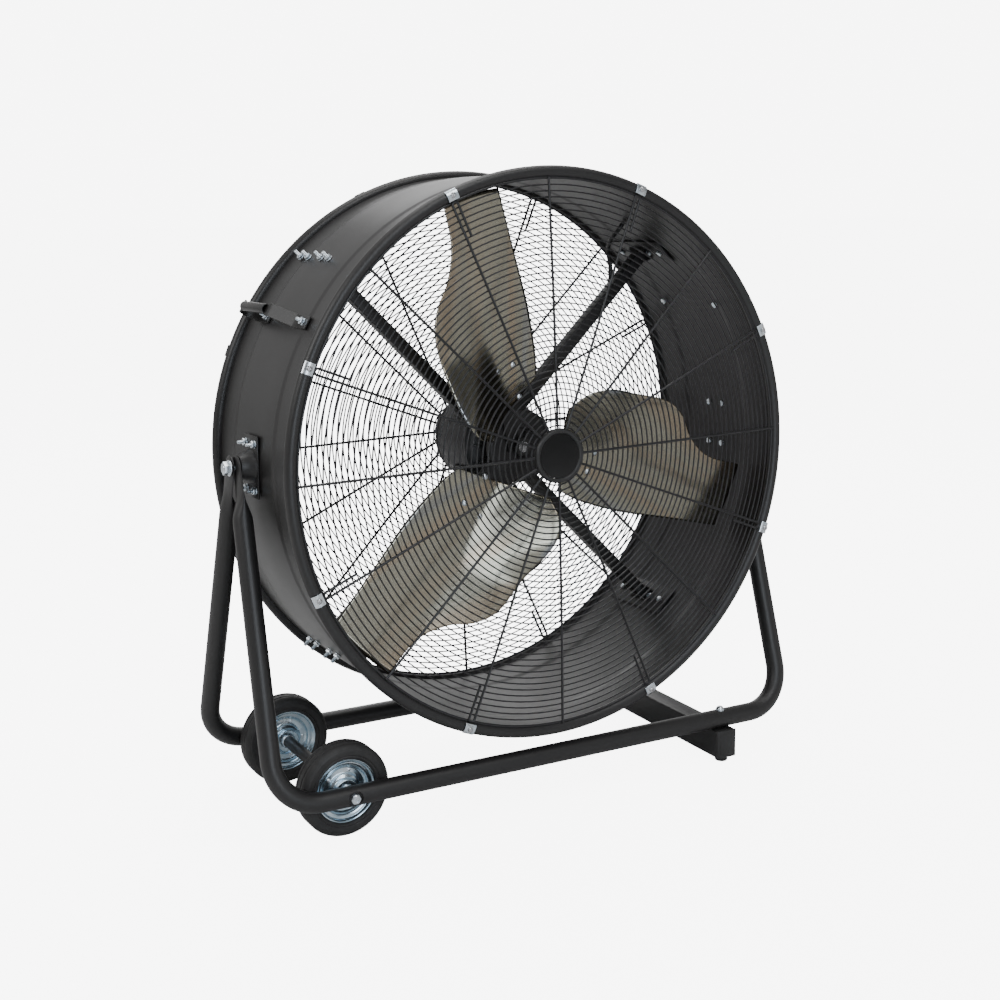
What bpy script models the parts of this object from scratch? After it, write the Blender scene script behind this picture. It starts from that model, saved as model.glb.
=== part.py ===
"""Axial air mover: a 36 inch drum fan that tilts in a wheeled tube stand.

Metres, +Z up, front of the fan at -Y. The origin is on the floor below the middle
of the drum. Everything on the drum is modelled in the drum's own frame, whose origin
is the tilt pivot, and is parented to the empty drum_pivot. An azimuth is measured
from straight up towards +X, as seen from the front.
"""
from math import asin, atan, cos, hypot, pi, radians, sin, sqrt, tan, tau

import bmesh
import bpy
from mathutils import Matrix, Vector

# Driving dimensions -----------------------------------------------------------
GAP = 0.0003                     # between pieces that touch
PIVOT_HEIGHT = 0.5795
REST_TILT = radians(-1.36)       # the front looks up a little at rest

# Drum
BEAD_RADIUS = 0.0099
BEAD_PITCH_RADIUS = 0.4601
BEAD_PLANE = 0.1627              # bead centre, in front of and behind the pivot
WALL_OUTER = 0.458
WALL_THICKNESS = 0.002
DRUM_SEGMENTS = 60
SEAT_OUTSIDE = WALL_OUTER + 0.0005   # flat feet rest here outside the drum
SEAT_INSIDE = 0.4543                 # and here inside it

# Grilles
GRILLE_RADIUS = 0.4492
GRILLE_INNER = 0.168             # distance of the plate's inner face from the pivot
GRILLE_THICKNESS = 0.004
SPOKE_COUNT = 16
SPOKE_PHASE = radians(21.3)
SPOKE_WIDTH = 0.008
BAND_COUNT = 4
CENTRE_PLATE_RADIUS = 0.052
GRILLE_HOOP_WIDTH = 0.008
CLIP_COUNT = 8
BADGE_RADIUS = 0.045
BADGE_FACE = 0.1835

# Motor, in the drum's frame, y towards the rear
MOTOR_RADIUS = 0.075
MOTOR_WALL = 0.005
MOTOR_FRONT = -0.010
MOTOR_REAR = 0.131
BELL_DEPTH = 0.022
SHAFT_RADIUS = 0.010
SHAFT_FRONT = -0.066
SHAFT_REAR = 0.120
BEARING_OUTER = 0.0235
BEARING_WIDTH = 0.014
ROTOR_CORE_RADIUS = 0.0445
STATOR_INNER = 0.0455
CORE_FRONT = 0.030
CORE_REAR = 0.098
ARM_AZIMUTHS = [radians(a) for a in (45.0, 135.0, 225.0, 315.0)]
ARM_WIDTH = 0.021
ARM_DEPTH = 0.023
ARM_MIDDLE = 0.0465
ARM_FOOT_WIDTH = 0.054
ARM_FOOT_FRONT = -0.029
ARM_FOOT_REAR = 0.126
ARM_FOOT_THICKNESS = 0.003
ARM_INNER = MOTOR_RADIUS + 0.0005

# Rotor
BLADE_AZIMUTHS = [radians(a) for a in (0.0, 120.0, 240.0)]
BLADE_TIP = 0.438
BLADE_THICKNESS = 0.002
# Edges of the upright blade as (across, outwards), from the root to the tip
FRONT_EDGE = [(-0.086, 0.020), (-0.125, 0.035), (-0.152, 0.075), (-0.168, 0.125),
              (-0.188, 0.195), (-0.181, 0.242), (-0.157, 0.285), (-0.146, 0.340),
              (-0.1605, 0.4075)]
REAR_EDGE = [(0.035, 0.115), (0.033, 0.160), (0.016, 0.242), (-0.014, 0.335), (-0.0458, 0.4356)]
PANEL_Y = -0.057                 # the blade's flat panel where it crosses the radius
PANEL_SLOPE = 0.23
CREASE_AZIMUTH = radians(-22.5)  # beyond it the blade turns towards the front
CREASE_SLOPE = 0.12
ROOT_SLOPE = 0.36                # more turn towards the root
ROOT_SLOPE_START = 0.240
ROOT_SLOPE_LENGTH = 0.120
HUB_BORE = SHAFT_RADIUS + GAP
HUB_RADIUS = 0.032
HUB_DISC_RADIUS = 0.062
HUB_FRONT = -0.060
HUB_DISC_REAR = -0.046
HUB_REAR = -0.018
TONGUE_AZIMUTH = radians(-14.5)
TONGUE_LENGTH = 0.160
TONGUE_WIDTH = 0.056
TONGUE_THICKNESS = 0.004

# Pivot, measured outwards from the middle of the drum
BRACKET_WIDTH = 0.058
BRACKET_HEIGHT = 0.100
BRACKET_THICKNESS = 0.003
BOSS_FACE = 0.4845
BOSS_RADIUS = 0.021
PIVOT_BOLT_RADIUS = 0.006
TAB_THICKNESS = 0.0055
FRONT_TAB_MIDDLE = 0.48775
REAR_TAB_MIDDLE = 0.49375
BOLT_HEAD_START = 0.4968
BOLT_HEAD_END = 0.5095

# Stand
TUBE_RADIUS = 0.016
LEG_TOP_X = 0.4875
LEG_TOP_Y = 0.007
CORNER_X = 0.4916
BASE_Y = 0.1632
BASE_HEIGHT = 0.075
BEND_RADIUS = 0.075
BEND_STEPS = 8
TAB_HALF_WIDTH = 0.019
TAB_FLAT_LENGTH = 0.036
TAB_BLEND_LENGTH = 0.085
FOOT_X = 0.350
FOOT_WIDTH = 0.040
FOOT_HEIGHT = 0.050
FOOT_WALL = 0.0025
FOOT_HALF_LENGTH = 0.1815
CAP_THICKNESS = 0.0032
FOOT_TOP = BASE_HEIGHT - TUBE_RADIUS - GAP
FOOT_BOTTOM = FOOT_TOP - FOOT_HEIGHT
PAD_Y = 0.169
FOOT_BOLT_RADIUS = 0.0045
PAD_TOP_RADIUS = 0.0125
PAD_FOOT_RADIUS = 0.0115

# Wheels
WHEEL_X = -0.3658
WHEEL_RADIUS = 0.075
TYRE_INNER = 0.0503
TYRE_WIDTH = 0.042
WHEEL_Y = 0.1245
DISC_HALF_WIDTH = 0.019
BUSH_OUTER = 0.012
BUSH_HALF_LENGTH = 0.0224
AXLE_RADIUS = 0.0075
AXLE_HALF_LENGTH = 0.1825
DIMPLE_PLANE = 0.1745
DIMPLE_RADIUS = 0.0125
NUT_RADIUS = 0.0105
NUT_THICKNESS = 0.0065

# Handles, as height above the axis
HANDLE_AZIMUTH = radians(60.0)
HANDLE_WIDTH = 0.028
HANDLE_THICKNESS = 0.003
GRIP_HEIGHT = 0.504

# Switch box
BOX_AZIMUTH = radians(35.0)
BOX_FRONT = -0.060
BOX_REAR = 0.050
BOX_WIDTH = 0.066
BOX_TOP = 0.4975
BOX_WALL = 0.003
KNOB_Y = 0.020
KNOB_RADIUS = 0.016
KNOB_TOP = 0.5145
GLAND_LENGTH = 0.024
LEAD_RADIUS = 0.004


# Scene and helpers -------------------------------------------------------------
def clear_scene():
    for obj in list(bpy.data.objects):
        bpy.data.objects.remove(obj, do_unlink=True)


def new_collection(name):
    collection = bpy.data.collections.new(name)
    bpy.context.scene.collection.children.link(collection)
    return collection


def material(name, colour, roughness, metallic):
    mat = bpy.data.materials.new(name)
    mat.use_nodes = True
    shader = mat.node_tree.nodes["Principled BSDF"]
    shader.inputs["Base Color"].default_value = (*colour, 1.0)
    shader.inputs["Roughness"].default_value = roughness
    shader.inputs["Metallic"].default_value = metallic
    return mat


clear_scene()
PARTS = new_collection("axial_air_mover")
CUTTERS = new_collection("cutters")

BLACK_COAT = material("black powder coat", (0.020, 0.020, 0.021), 0.45, 0.0)
BLACK_PLASTIC = material("black plastic", (0.015, 0.015, 0.015), 0.40, 0.0)
BLACK_RUBBER = material("black rubber", (0.022, 0.022, 0.022), 0.75, 0.0)
ZINC = material("zinc plated steel", (0.62, 0.66, 0.70), 0.30, 1.0)
BRIGHT_STEEL = material("bright steel", (0.55, 0.55, 0.56), 0.25, 1.0)
BLADE_METAL = material("blade aluminium", (0.42, 0.40, 0.34), 0.30, 1.0)
MOTOR_GREY = material("motor grey", (0.060, 0.062, 0.065), 0.50, 0.0)
COPPER = material("copper winding", (0.55, 0.25, 0.12), 0.40, 1.0)
BRONZE = material("bronze bush", (0.50, 0.33, 0.15), 0.40, 1.0)

DRUM_PIVOT = bpy.data.objects.new("drum_pivot", None)
DRUM_PIVOT.location = (0.0, 0.0, PIVOT_HEIGHT)
DRUM_PIVOT.rotation_euler = (REST_TILT, 0.0, 0.0)
PARTS.objects.link(DRUM_PIVOT)

FACE_FORWARD = (pi / 2, 0.0, 0.0)     # turns local +Z to the front, -Y


def add_object(name, mesh, mat, parent=None, location=(0, 0, 0), rotation=(0, 0, 0)):
    obj = bpy.data.objects.new(name, mesh)
    obj.location = location
    obj.rotation_euler = rotation
    obj.parent = parent
    if mat is not None:
        mesh.materials.clear()
        mesh.materials.append(mat)
    PARTS.objects.link(obj)
    return obj


def mesh_from(name, bm):
    bmesh.ops.recalc_face_normals(bm, faces=bm.faces)
    mesh = bpy.data.meshes.new(name)
    bm.to_mesh(mesh)
    bm.free()
    return mesh


def smooth(obj, angle=radians(35)):
    obj.data.shade_smooth()
    obj.data.set_sharp_from_angle(angle=angle)


def box_mesh(name, low, high, bevel=0.0):
    """A box between two corners, with its edges rounded off by bevel."""
    low, high = Vector(low), Vector(high)
    bm = bmesh.new()
    bmesh.ops.create_cube(bm, size=1.0)
    bmesh.ops.scale(bm, vec=high - low, verts=bm.verts)
    bmesh.ops.translate(bm, vec=(low + high) / 2, verts=bm.verts)
    if bevel:
        bmesh.ops.bevel(bm, geom=bm.edges[:], offset=bevel, segments=1, affect="EDGES")
    return mesh_from(name, bm)


def cylinder_mesh(name, radius, low, high, segments=24, top_radius=None):
    """A cylinder or cone along local Z from low to high."""
    bm = bmesh.new()
    bmesh.ops.create_cone(bm, cap_ends=True, segments=segments, radius1=radius,
                          radius2=radius if top_radius is None else top_radius,
                          depth=high - low)
    bmesh.ops.translate(bm, vec=(0.0, 0.0, (low + high) / 2), verts=bm.verts)
    return mesh_from(name, bm)


def turned(name, profile, mat, segments, parent=None, location=(0, 0, 0),
           rotation=(0, 0, 0)):
    """A closed profile of (radius, height) points turned round local Z."""
    touches_axis = any(r == 0.0 for r, z in profile)
    area = sum(profile[i - 1][0] * profile[i][1] - profile[i][0] * profile[i - 1][1]
               for i in range(len(profile)))
    if area > 0:
        profile = profile[::-1]
    if touches_axis:
        while not (profile[0][0] == 0.0 and profile[-1][0] == 0.0):
            profile = profile[1:] + profile[:1]
    mesh = bpy.data.meshes.new(name)
    count = len(profile)
    edges = [(i, (i + 1) % count) for i in range(count - 1 if touches_axis else count)]
    mesh.from_pydata([(r, 0.0, z) for r, z in profile], edges, [])
    obj = add_object(name, mesh, mat, parent, location, rotation)
    screw = obj.modifiers.new("turn", "SCREW")
    screw.axis = "Z"
    screw.angle = tau
    screw.steps = segments
    screw.render_steps = segments
    screw.use_merge_vertices = True
    screw.merge_threshold = 0.00001
    screw.use_smooth_shade = True
    return obj


def ring_profile(inner, outer, low, high):
    return [(inner, low), (outer, low), (outer, high), (inner, high)]


def combine(name, base, unions=(), cuts=()):
    """The base mesh with some meshes joined to it and others cut from it."""
    holder = bpy.data.objects.new(name, base)
    CUTTERS.objects.link(holder)
    tools = []
    for operation, meshes in (("UNION", unions), ("DIFFERENCE", cuts)):
        for mesh in meshes:
            tool = bpy.data.objects.new(mesh.name, mesh)
            tool.hide_render = True
            tool.display_type = "WIRE"
            CUTTERS.objects.link(tool)
            tools.append(tool)
            modifier = holder.modifiers.new(mesh.name, "BOOLEAN")
            modifier.operation = operation
            modifier.object = tool
            modifier.solver = "EXACT"
    bpy.context.view_layer.update()
    evaluated = holder.evaluated_get(bpy.context.evaluated_depsgraph_get())
    mesh = bpy.data.meshes.new_from_object(evaluated)
    for obj in [holder, *tools]:
        bpy.data.objects.remove(obj, do_unlink=True)
    return mesh


def moved(mesh, matrix):
    mesh.transform(matrix)
    return mesh


def smoothstep(value):
    value = min(1.0, max(0.0, value))
    return value * value * (3.0 - 2.0 * value)


def smooth_route(points, steps):
    """Points on a Catmull-Rom curve through a route."""
    ends = [2 * points[0] - points[1], *points, 2 * points[-1] - points[-2]]
    route = []
    for a, b, c, d in zip(ends, ends[1:], ends[2:], ends[3:]):
        for k in range(steps):
            t = k / steps
            route.append(0.5 * (2 * b + (c - a) * t + (2 * a - 5 * b + 4 * c - d) * t ** 2
                                + (3 * b - a - 3 * c + d) * t ** 3))
    route.append(points[-1])
    return route


def tube_curve(name, points, radius, resolution, mat, parent=None):
    curve = bpy.data.curves.new(name, "CURVE")
    curve.dimensions = "3D"
    curve.bevel_depth = radius
    curve.bevel_resolution = resolution
    curve.use_fill_caps = True
    spline = curve.splines.new("POLY")
    spline.points.add(len(points) - 1)
    for point, place in zip(spline.points, points):
        point.co = (*place, 1.0)
    curve.materials.append(mat)
    obj = bpy.data.objects.new(name, curve)
    obj.parent = parent
    PARTS.objects.link(obj)
    return obj


def mesh_of_curve(curve_object):
    """A closed mesh of a curve object, which is removed."""
    bpy.context.view_layer.update()
    evaluated = curve_object.evaluated_get(bpy.context.evaluated_depsgraph_get())
    mesh = bpy.data.meshes.new_from_object(evaluated)
    bm = bmesh.new()
    bm.from_mesh(mesh)
    bmesh.ops.remove_doubles(bm, verts=bm.verts, dist=0.00001)
    bmesh.ops.recalc_face_normals(bm, faces=bm.faces)
    bm.to_mesh(mesh)
    bm.free()
    bpy.data.objects.remove(curve_object, do_unlink=True)
    return mesh


# Drum -------------------------------------------------------------------------
def make_drum_shell():
    """A rolled wall with a round bead at each end."""
    steps = 7
    wall_inner = WALL_OUTER - WALL_THICKNESS
    first = -pi / 2 - asin((BEAD_PITCH_RADIUS - WALL_OUTER) / BEAD_RADIUS)
    last = 3 * pi / 2 - asin((BEAD_PITCH_RADIUS - wall_inner) / BEAD_RADIUS)
    front = []
    for k in range(steps + 1):
        angle = first + (last - first) * k / steps
        front.append((BEAD_PITCH_RADIUS + BEAD_RADIUS * cos(angle),
                      BEAD_PLANE + BEAD_RADIUS * sin(angle)))
    rear = [(r, -z) for r, z in reversed(front)]
    turned("drum_shell", front + rear, BLACK_COAT, DRUM_SEGMENTS, DRUM_PIVOT,
           rotation=FACE_FORWARD)


def polar(radius, azimuth):
    return (radius * sin(azimuth), radius * cos(azimuth))


def add_outline(curve, points):
    spline = curve.splines.new("POLY")
    spline.points.add(len(points) - 1)
    for point, (x, y) in zip(spline.points, points):
        point.co = (x, y, 0.0, 1.0)
    spline.use_cyclic_u = True


def grille_window(inner, outer, start, end):
    """A sector between two spokes, clear of half a spoke on each side."""
    inner_trim = SPOKE_WIDTH / 2 / inner
    outer_trim = SPOKE_WIDTH / 2 / outer
    middle = (start + end) / 2
    return [polar(inner, start + inner_trim), polar(outer, start + outer_trim),
            polar(outer, middle), polar(outer, end - outer_trim),
            polar(inner, end - inner_trim)]


def make_grille(name, distance):
    """A wire guard, simplified to a flat disc with sector windows."""
    curve = bpy.data.curves.new(name, "CURVE")
    curve.dimensions = "2D"
    curve.fill_mode = "BOTH"
    curve.extrude = GRILLE_THICKNESS / 2
    curve.materials.append(BLACK_COAT)
    add_outline(curve, [polar(GRILLE_RADIUS, tau * k / DRUM_SEGMENTS)
                        for k in range(DRUM_SEGMENTS)])
    open_depth = GRILLE_RADIUS - GRILLE_HOOP_WIDTH - CENTRE_PLATE_RADIUS
    pitch = (open_depth + GRILLE_HOOP_WIDTH) / BAND_COUNT
    for band in range(BAND_COUNT):
        inner = CENTRE_PLATE_RADIUS + band * pitch
        outer = inner + pitch - GRILLE_HOOP_WIDTH
        for k in range(SPOKE_COUNT):
            start = SPOKE_PHASE + tau * k / SPOKE_COUNT
            add_outline(curve, grille_window(inner, outer, start, start + tau / SPOKE_COUNT))
    obj = bpy.data.objects.new(name, curve)
    obj.parent = DRUM_PIVOT
    obj.rotation_euler = FACE_FORWARD
    obj.location = (0.0, -distance, 0.0)
    PARTS.objects.link(obj)


def make_grilles():
    middle = GRILLE_INNER + GRILLE_THICKNESS / 2
    make_grille("front_grille", middle)
    make_grille("rear_grille", -middle)


def make_badge():
    """A blank round badge with a raised bezel, in the middle of the front guard."""
    back = GRILLE_INNER + GRILLE_THICKNESS + GAP
    bezel = 0.007
    recess = 0.002
    profile = [(0.0, BADGE_FACE - recess), (BADGE_RADIUS - bezel, BADGE_FACE - recess),
               (BADGE_RADIUS - bezel + recess, BADGE_FACE), (BADGE_RADIUS - recess, BADGE_FACE),
               (BADGE_RADIUS, BADGE_FACE - recess), (BADGE_RADIUS, back), (0.0, back)]
    turned("badge", profile, BLACK_PLASTIC, 32, DRUM_PIVOT, rotation=FACE_FORWARD)


def make_grille_clips():
    """Eight zinc clips that hook over the front bead and hold the guard's rim."""
    half_width = 0.009
    sheet = 0.0022
    face = BEAD_PLANE + BEAD_RADIUS + GAP
    rim = BEAD_PITCH_RADIUS + BEAD_RADIUS + GAP
    inner_edge = GRILLE_RADIUS - 0.002
    hook = 0.018
    leaf = box_mesh("clip leaf", (-half_width, -face - sheet, inner_edge),
                    (half_width, -face, rim + sheet))
    lip = box_mesh("clip lip", (-half_width, -face - sheet, rim),
                   (half_width, -face + hook, rim + sheet))
    clip = combine("grille clip", leaf, unions=[lip])
    for k in range(CLIP_COUNT):
        azimuth = SPOKE_PHASE + tau * k / CLIP_COUNT
        add_object(f"grille_clip_{k + 1}", clip, ZINC, DRUM_PIVOT, rotation=(0.0, azimuth, 0.0))


# Handles ----------------------------------------------------------------------
def handle_path():
    """Side view of the strap as (y, height): foot, ramp, grip, round end, foot."""
    seat = SEAT_OUTSIDE + HANDLE_THICKNESS / 2
    turn_radius = (GRIP_HEIGHT - seat) / 2
    turn_y = 0.104
    steps = 8
    path = [(-0.095, seat), (-0.058, seat), (-0.049, seat + 0.003),
            (-0.008, GRIP_HEIGHT - 0.003), (0.002, GRIP_HEIGHT)]
    for k in range(steps + 1):
        angle = pi / 2 - pi * k / steps
        path.append((turn_y + turn_radius * cos(angle), seat + turn_radius * (1 + sin(angle))))
    path.append((0.062, seat))
    return path


def make_handle(name, azimuth, direction):
    bm = bmesh.new()
    rows = []
    for y, height in handle_path():
        rows.append([bm.verts.new((x, direction * y, height))
                     for x in (-HANDLE_WIDTH / 2, HANDLE_WIDTH / 2)])
    for (a, b), (c, d) in zip(rows, rows[1:]):
        bm.faces.new((a, b, d, c))
    obj = add_object(name, mesh_from(name, bm), BLACK_COAT, DRUM_PIVOT,
                     rotation=(0.0, azimuth, 0.0))
    solid = obj.modifiers.new("strap thickness", "SOLIDIFY")
    solid.thickness = HANDLE_THICKNESS
    solid.offset = 0.0
    solid.use_even_offset = True


def make_handles():
    make_handle("handle_left", -HANDLE_AZIMUTH, 1.0)
    make_handle("handle_right", HANDLE_AZIMUTH, -1.0)


# Motor ------------------------------------------------------------------------
def bell_profile(closed_end):
    """End bell: distances are measured inwards from its outer face."""
    centre = 0.0 if closed_end else SHAFT_RADIUS + 0.002
    bore = BEARING_OUTER + GAP
    return [(centre, 0.0), (0.058, 0.0), (MOTOR_RADIUS, 0.008), (MOTOR_RADIUS, BELL_DEPTH),
            (0.069, BELL_DEPTH), (0.069, 0.010), (0.031, 0.007), (0.031, 0.024),
            (bore, 0.024), (bore, 0.006), (centre, 0.006)]


def make_motor():
    casing_front = -MOTOR_FRONT - BELL_DEPTH - GAP
    casing_rear = -MOTOR_REAR + BELL_DEPTH + GAP
    turned("motor_casing", ring_profile(MOTOR_RADIUS - MOTOR_WALL, MOTOR_RADIUS,
                                        casing_rear, casing_front),
           MOTOR_GREY, 32, DRUM_PIVOT, rotation=FACE_FORWARD)
    turned("motor_front_bell", [(r, -MOTOR_FRONT - z) for r, z in bell_profile(False)],
           MOTOR_GREY, 32, DRUM_PIVOT, rotation=FACE_FORWARD)
    turned("motor_rear_bell", [(r, -MOTOR_REAR + z) for r, z in bell_profile(True)],
           MOTOR_GREY, 32, DRUM_PIVOT, rotation=FACE_FORWARD)
    turned("stator", ring_profile(STATOR_INNER, MOTOR_RADIUS - MOTOR_WALL - GAP,
                                  -CORE_REAR, -CORE_FRONT),
           COPPER, 32, DRUM_PIVOT, rotation=FACE_FORWARD)
    seat = 0.006 + GAP
    for name, start in (("bearing_front", -MOTOR_FRONT - seat - BEARING_WIDTH),
                        ("bearing_rear", -MOTOR_REAR + seat)):
        turned(name, ring_profile(SHAFT_RADIUS + GAP, BEARING_OUTER, start,
                                  start + BEARING_WIDTH),
               BRIGHT_STEEL, 24, DRUM_PIVOT, rotation=FACE_FORWARD)


def make_motor_arms():
    """Four arms from the motor casing to feet on the inside of the drum."""
    foot_inner = SEAT_INSIDE - ARM_FOOT_THICKNESS
    gusset = 0.012
    beam = box_mesh("arm beam",
                    (-ARM_WIDTH / 2, ARM_MIDDLE - ARM_DEPTH / 2, ARM_INNER),
                    (ARM_WIDTH / 2, ARM_MIDDLE + ARM_DEPTH / 2, foot_inner + 0.001))
    flare = box_mesh("arm flare",
                     (-ARM_WIDTH / 2 - 0.004, ARM_FOOT_FRONT + 0.030, foot_inner - gusset),
                     (ARM_WIDTH / 2 + 0.004, ARM_FOOT_REAR - 0.030, foot_inner + 0.001))
    foot = box_mesh("arm foot", (-ARM_FOOT_WIDTH / 2, ARM_FOOT_FRONT, foot_inner),
                    (ARM_FOOT_WIDTH / 2, ARM_FOOT_REAR, SEAT_INSIDE))
    arm = combine("motor arm", foot, unions=[beam, flare])
    for k, azimuth in enumerate(ARM_AZIMUTHS, start=1):
        add_object(f"motor_arm_{k}", arm, BLACK_COAT, DRUM_PIVOT, rotation=(0.0, azimuth, 0.0))


# Rotor ------------------------------------------------------------------------
def make_shaft_and_core():
    turned("motor_shaft", [(0.0, -SHAFT_FRONT), (SHAFT_RADIUS, -SHAFT_FRONT),
                           (SHAFT_RADIUS, -SHAFT_REAR), (0.0, -SHAFT_REAR)],
           BRIGHT_STEEL, 24, DRUM_PIVOT, rotation=FACE_FORWARD)
    turned("rotor_core", ring_profile(SHAFT_RADIUS + GAP, ROTOR_CORE_RADIUS,
                                      -CORE_REAR, -CORE_FRONT),
           BRIGHT_STEEL, 32, DRUM_PIVOT, rotation=FACE_FORWARD)
    turned("hub_nut", ring_profile(SHAFT_RADIUS + GAP, 0.017, -HUB_FRONT + GAP,
                                   -HUB_FRONT + 0.006),
           ZINC, 24, DRUM_PIVOT, rotation=FACE_FORWARD)


def tongue_plate():
    """A round-ended tongue from the axis outwards, against the back of the upright blade."""
    half = TONGUE_WIDTH / 2
    end_steps = 8
    outline = [(-half, 0.0)]
    for k in range(end_steps + 1):
        angle = pi - pi * k / end_steps
        outline.append((half * cos(angle), TONGUE_LENGTH - half + half * sin(angle)))
    outline.append((half, 0.0))
    curve = bpy.data.curves.new("tongue plate", "CURVE")
    curve.dimensions = "2D"
    curve.fill_mode = "BOTH"
    curve.extrude = TONGUE_THICKNESS / 2
    add_outline(curve, outline)
    holder = bpy.data.objects.new("tongue plate", curve)
    CUTTERS.objects.link(holder)
    plate = mesh_of_curve(holder)
    pitch = atan(PANEL_SLOPE)
    behind = (BLADE_THICKNESS / 2 + GAP + TONGUE_THICKNESS / 2) / cos(pitch)
    plate.transform(Matrix.Translation((0.0, 0.0, -PANEL_Y - behind))
                    @ Matrix.Rotation(pitch, 4, "Y") @ Matrix.Rotation(-TONGUE_AZIMUTH, 4, "Z"))
    return plate


def make_hub_spider():
    """Boss, front disc and three tongues that carry the blades."""
    tongues = []
    for azimuth in BLADE_AZIMUTHS:
        tongues.append(moved(tongue_plate(), Matrix.Rotation(-azimuth, 4, "Z")))
    boss = cylinder_mesh("hub boss", HUB_RADIUS, -HUB_REAR, -HUB_FRONT, 32)
    disc = cylinder_mesh("hub disc", HUB_DISC_RADIUS, -HUB_DISC_REAR, -HUB_FRONT - 0.001, 32)
    bore = cylinder_mesh("hub bore", HUB_BORE, -HUB_REAR - 0.01, -HUB_FRONT + 0.01, 24)
    hub = combine("hub spider", boss, unions=[disc, *tongues], cuts=[bore])
    smooth(add_object("hub_spider", hub, BLACK_COAT, DRUM_PIVOT, rotation=FACE_FORWARD))


def along_edge(edge, t):
    """The point a fraction t along a smooth curve through an edge's points."""
    steps = 8
    route = smooth_route([Vector((x, z)) for x, z in edge], steps)
    place = t * (len(route) - 1)
    k = min(int(place), len(route) - 2)
    return route[k].lerp(route[k + 1], place - k)


def blade_y(x, z):
    """The blade's sheet: a pitched flat panel that turns forwards beyond its crease."""
    beyond = z * sin(CREASE_AZIMUTH) - x * cos(CREASE_AZIMUTH)
    root = smoothstep((ROOT_SLOPE_START - hypot(x, z)) / ROOT_SLOPE_LENGTH)
    return PANEL_Y + PANEL_SLOPE * x - (CREASE_SLOPE + ROOT_SLOPE * root) * max(0.0, beyond)


def make_blades():
    rows = 12
    columns = 6
    bm = bmesh.new()
    grid = []
    for i in range(rows + 1):
        t = i / rows
        front = along_edge(FRONT_EDGE, t)
        rear = along_edge(REAR_EDGE, t)
        row = []
        for j in range(columns + 1):
            point = front.lerp(rear, j / columns)
            reach = front.length + (rear.length - front.length) * j / columns
            rounded = point.normalized() * reach
            x, z = point.lerp(rounded, t * t)
            row.append(bm.verts.new((x, blade_y(x, z), z)))
        grid.append(row)
    for low, high in zip(grid, grid[1:]):
        for j in range(columns):
            bm.faces.new((low[j], low[j + 1], high[j + 1], high[j]))
    mesh = mesh_from("blade", bm)
    for k, azimuth in enumerate(BLADE_AZIMUTHS, start=1):
        obj = add_object(f"blade_{k}", mesh, BLADE_METAL, DRUM_PIVOT,
                         rotation=(0.0, azimuth, 0.0))
        solid = obj.modifiers.new("sheet thickness", "SOLIDIFY")
        solid.thickness = BLADE_THICKNESS
        solid.offset = 0.0


# Pivots -----------------------------------------------------------------------
def make_pivots():
    plate = box_mesh("bracket plate",
                     (-BRACKET_HEIGHT / 2, -BRACKET_WIDTH / 2, SEAT_OUTSIDE),
                     (BRACKET_HEIGHT / 2, BRACKET_WIDTH / 2, SEAT_OUTSIDE + BRACKET_THICKNESS))
    boss = cylinder_mesh("bracket boss", BOSS_RADIUS + 0.004, SEAT_OUTSIDE + 0.001, BOSS_FACE,
                         24, BOSS_RADIUS)
    bore = cylinder_mesh("bracket bore", PIVOT_BOLT_RADIUS + 0.0005, SEAT_OUTSIDE - 0.01,
                         BOSS_FACE + 0.01, 24)
    bracket = combine("pivot bracket", plate, unions=[boss], cuts=[bore])
    shank_start = SEAT_OUTSIDE + 0.002
    washer_radius = 0.013
    washer_end = BOLT_HEAD_START + 0.0022
    head_radius = 0.0105
    bolt = [(0.0, shank_start), (PIVOT_BOLT_RADIUS, shank_start),
            (PIVOT_BOLT_RADIUS, BOLT_HEAD_START), (washer_radius, BOLT_HEAD_START),
            (washer_radius, washer_end), (head_radius, washer_end),
            (head_radius, BOLT_HEAD_END), (0.0, BOLT_HEAD_END)]
    for side, azimuth in (("left", -pi / 2), ("right", pi / 2)):
        turn = (0.0, azimuth, 0.0)
        smooth(add_object(f"pivot_bracket_{side}", bracket, BLACK_COAT, DRUM_PIVOT,
                          rotation=turn))
        turned(f"pivot_bolt_{side}", bolt, ZINC, 16, location=(0.0, 0.0, PIVOT_HEIGHT),
               rotation=turn)


# Stand ------------------------------------------------------------------------
def leg_top(side, end):
    return Vector((side * LEG_TOP_X, end * LEG_TOP_Y, PIVOT_HEIGHT))


def base_corner(side, end):
    return Vector((side * CORNER_X, end * BASE_Y, BASE_HEIGHT))


def bend_points(corner, before, after):
    """An arc of the bend radius that replaces a corner."""
    a = (before - corner).normalized()
    b = (after - corner).normalized()
    half = a.angle(b) / 2
    centre = corner + (a + b).normalized() * BEND_RADIUS / sin(half)
    first = corner + a * BEND_RADIUS / tan(half) - centre
    last = corner + b * BEND_RADIUS / tan(half) - centre
    sweep = first.angle(last)
    points = []
    for k in range(BEND_STEPS + 1):
        t = k / BEND_STEPS
        points.append(centre + first * (sin((1 - t) * sweep) / sin(sweep))
                      + last * (sin(t * sweep) / sin(sweep)))
    return points


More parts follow.
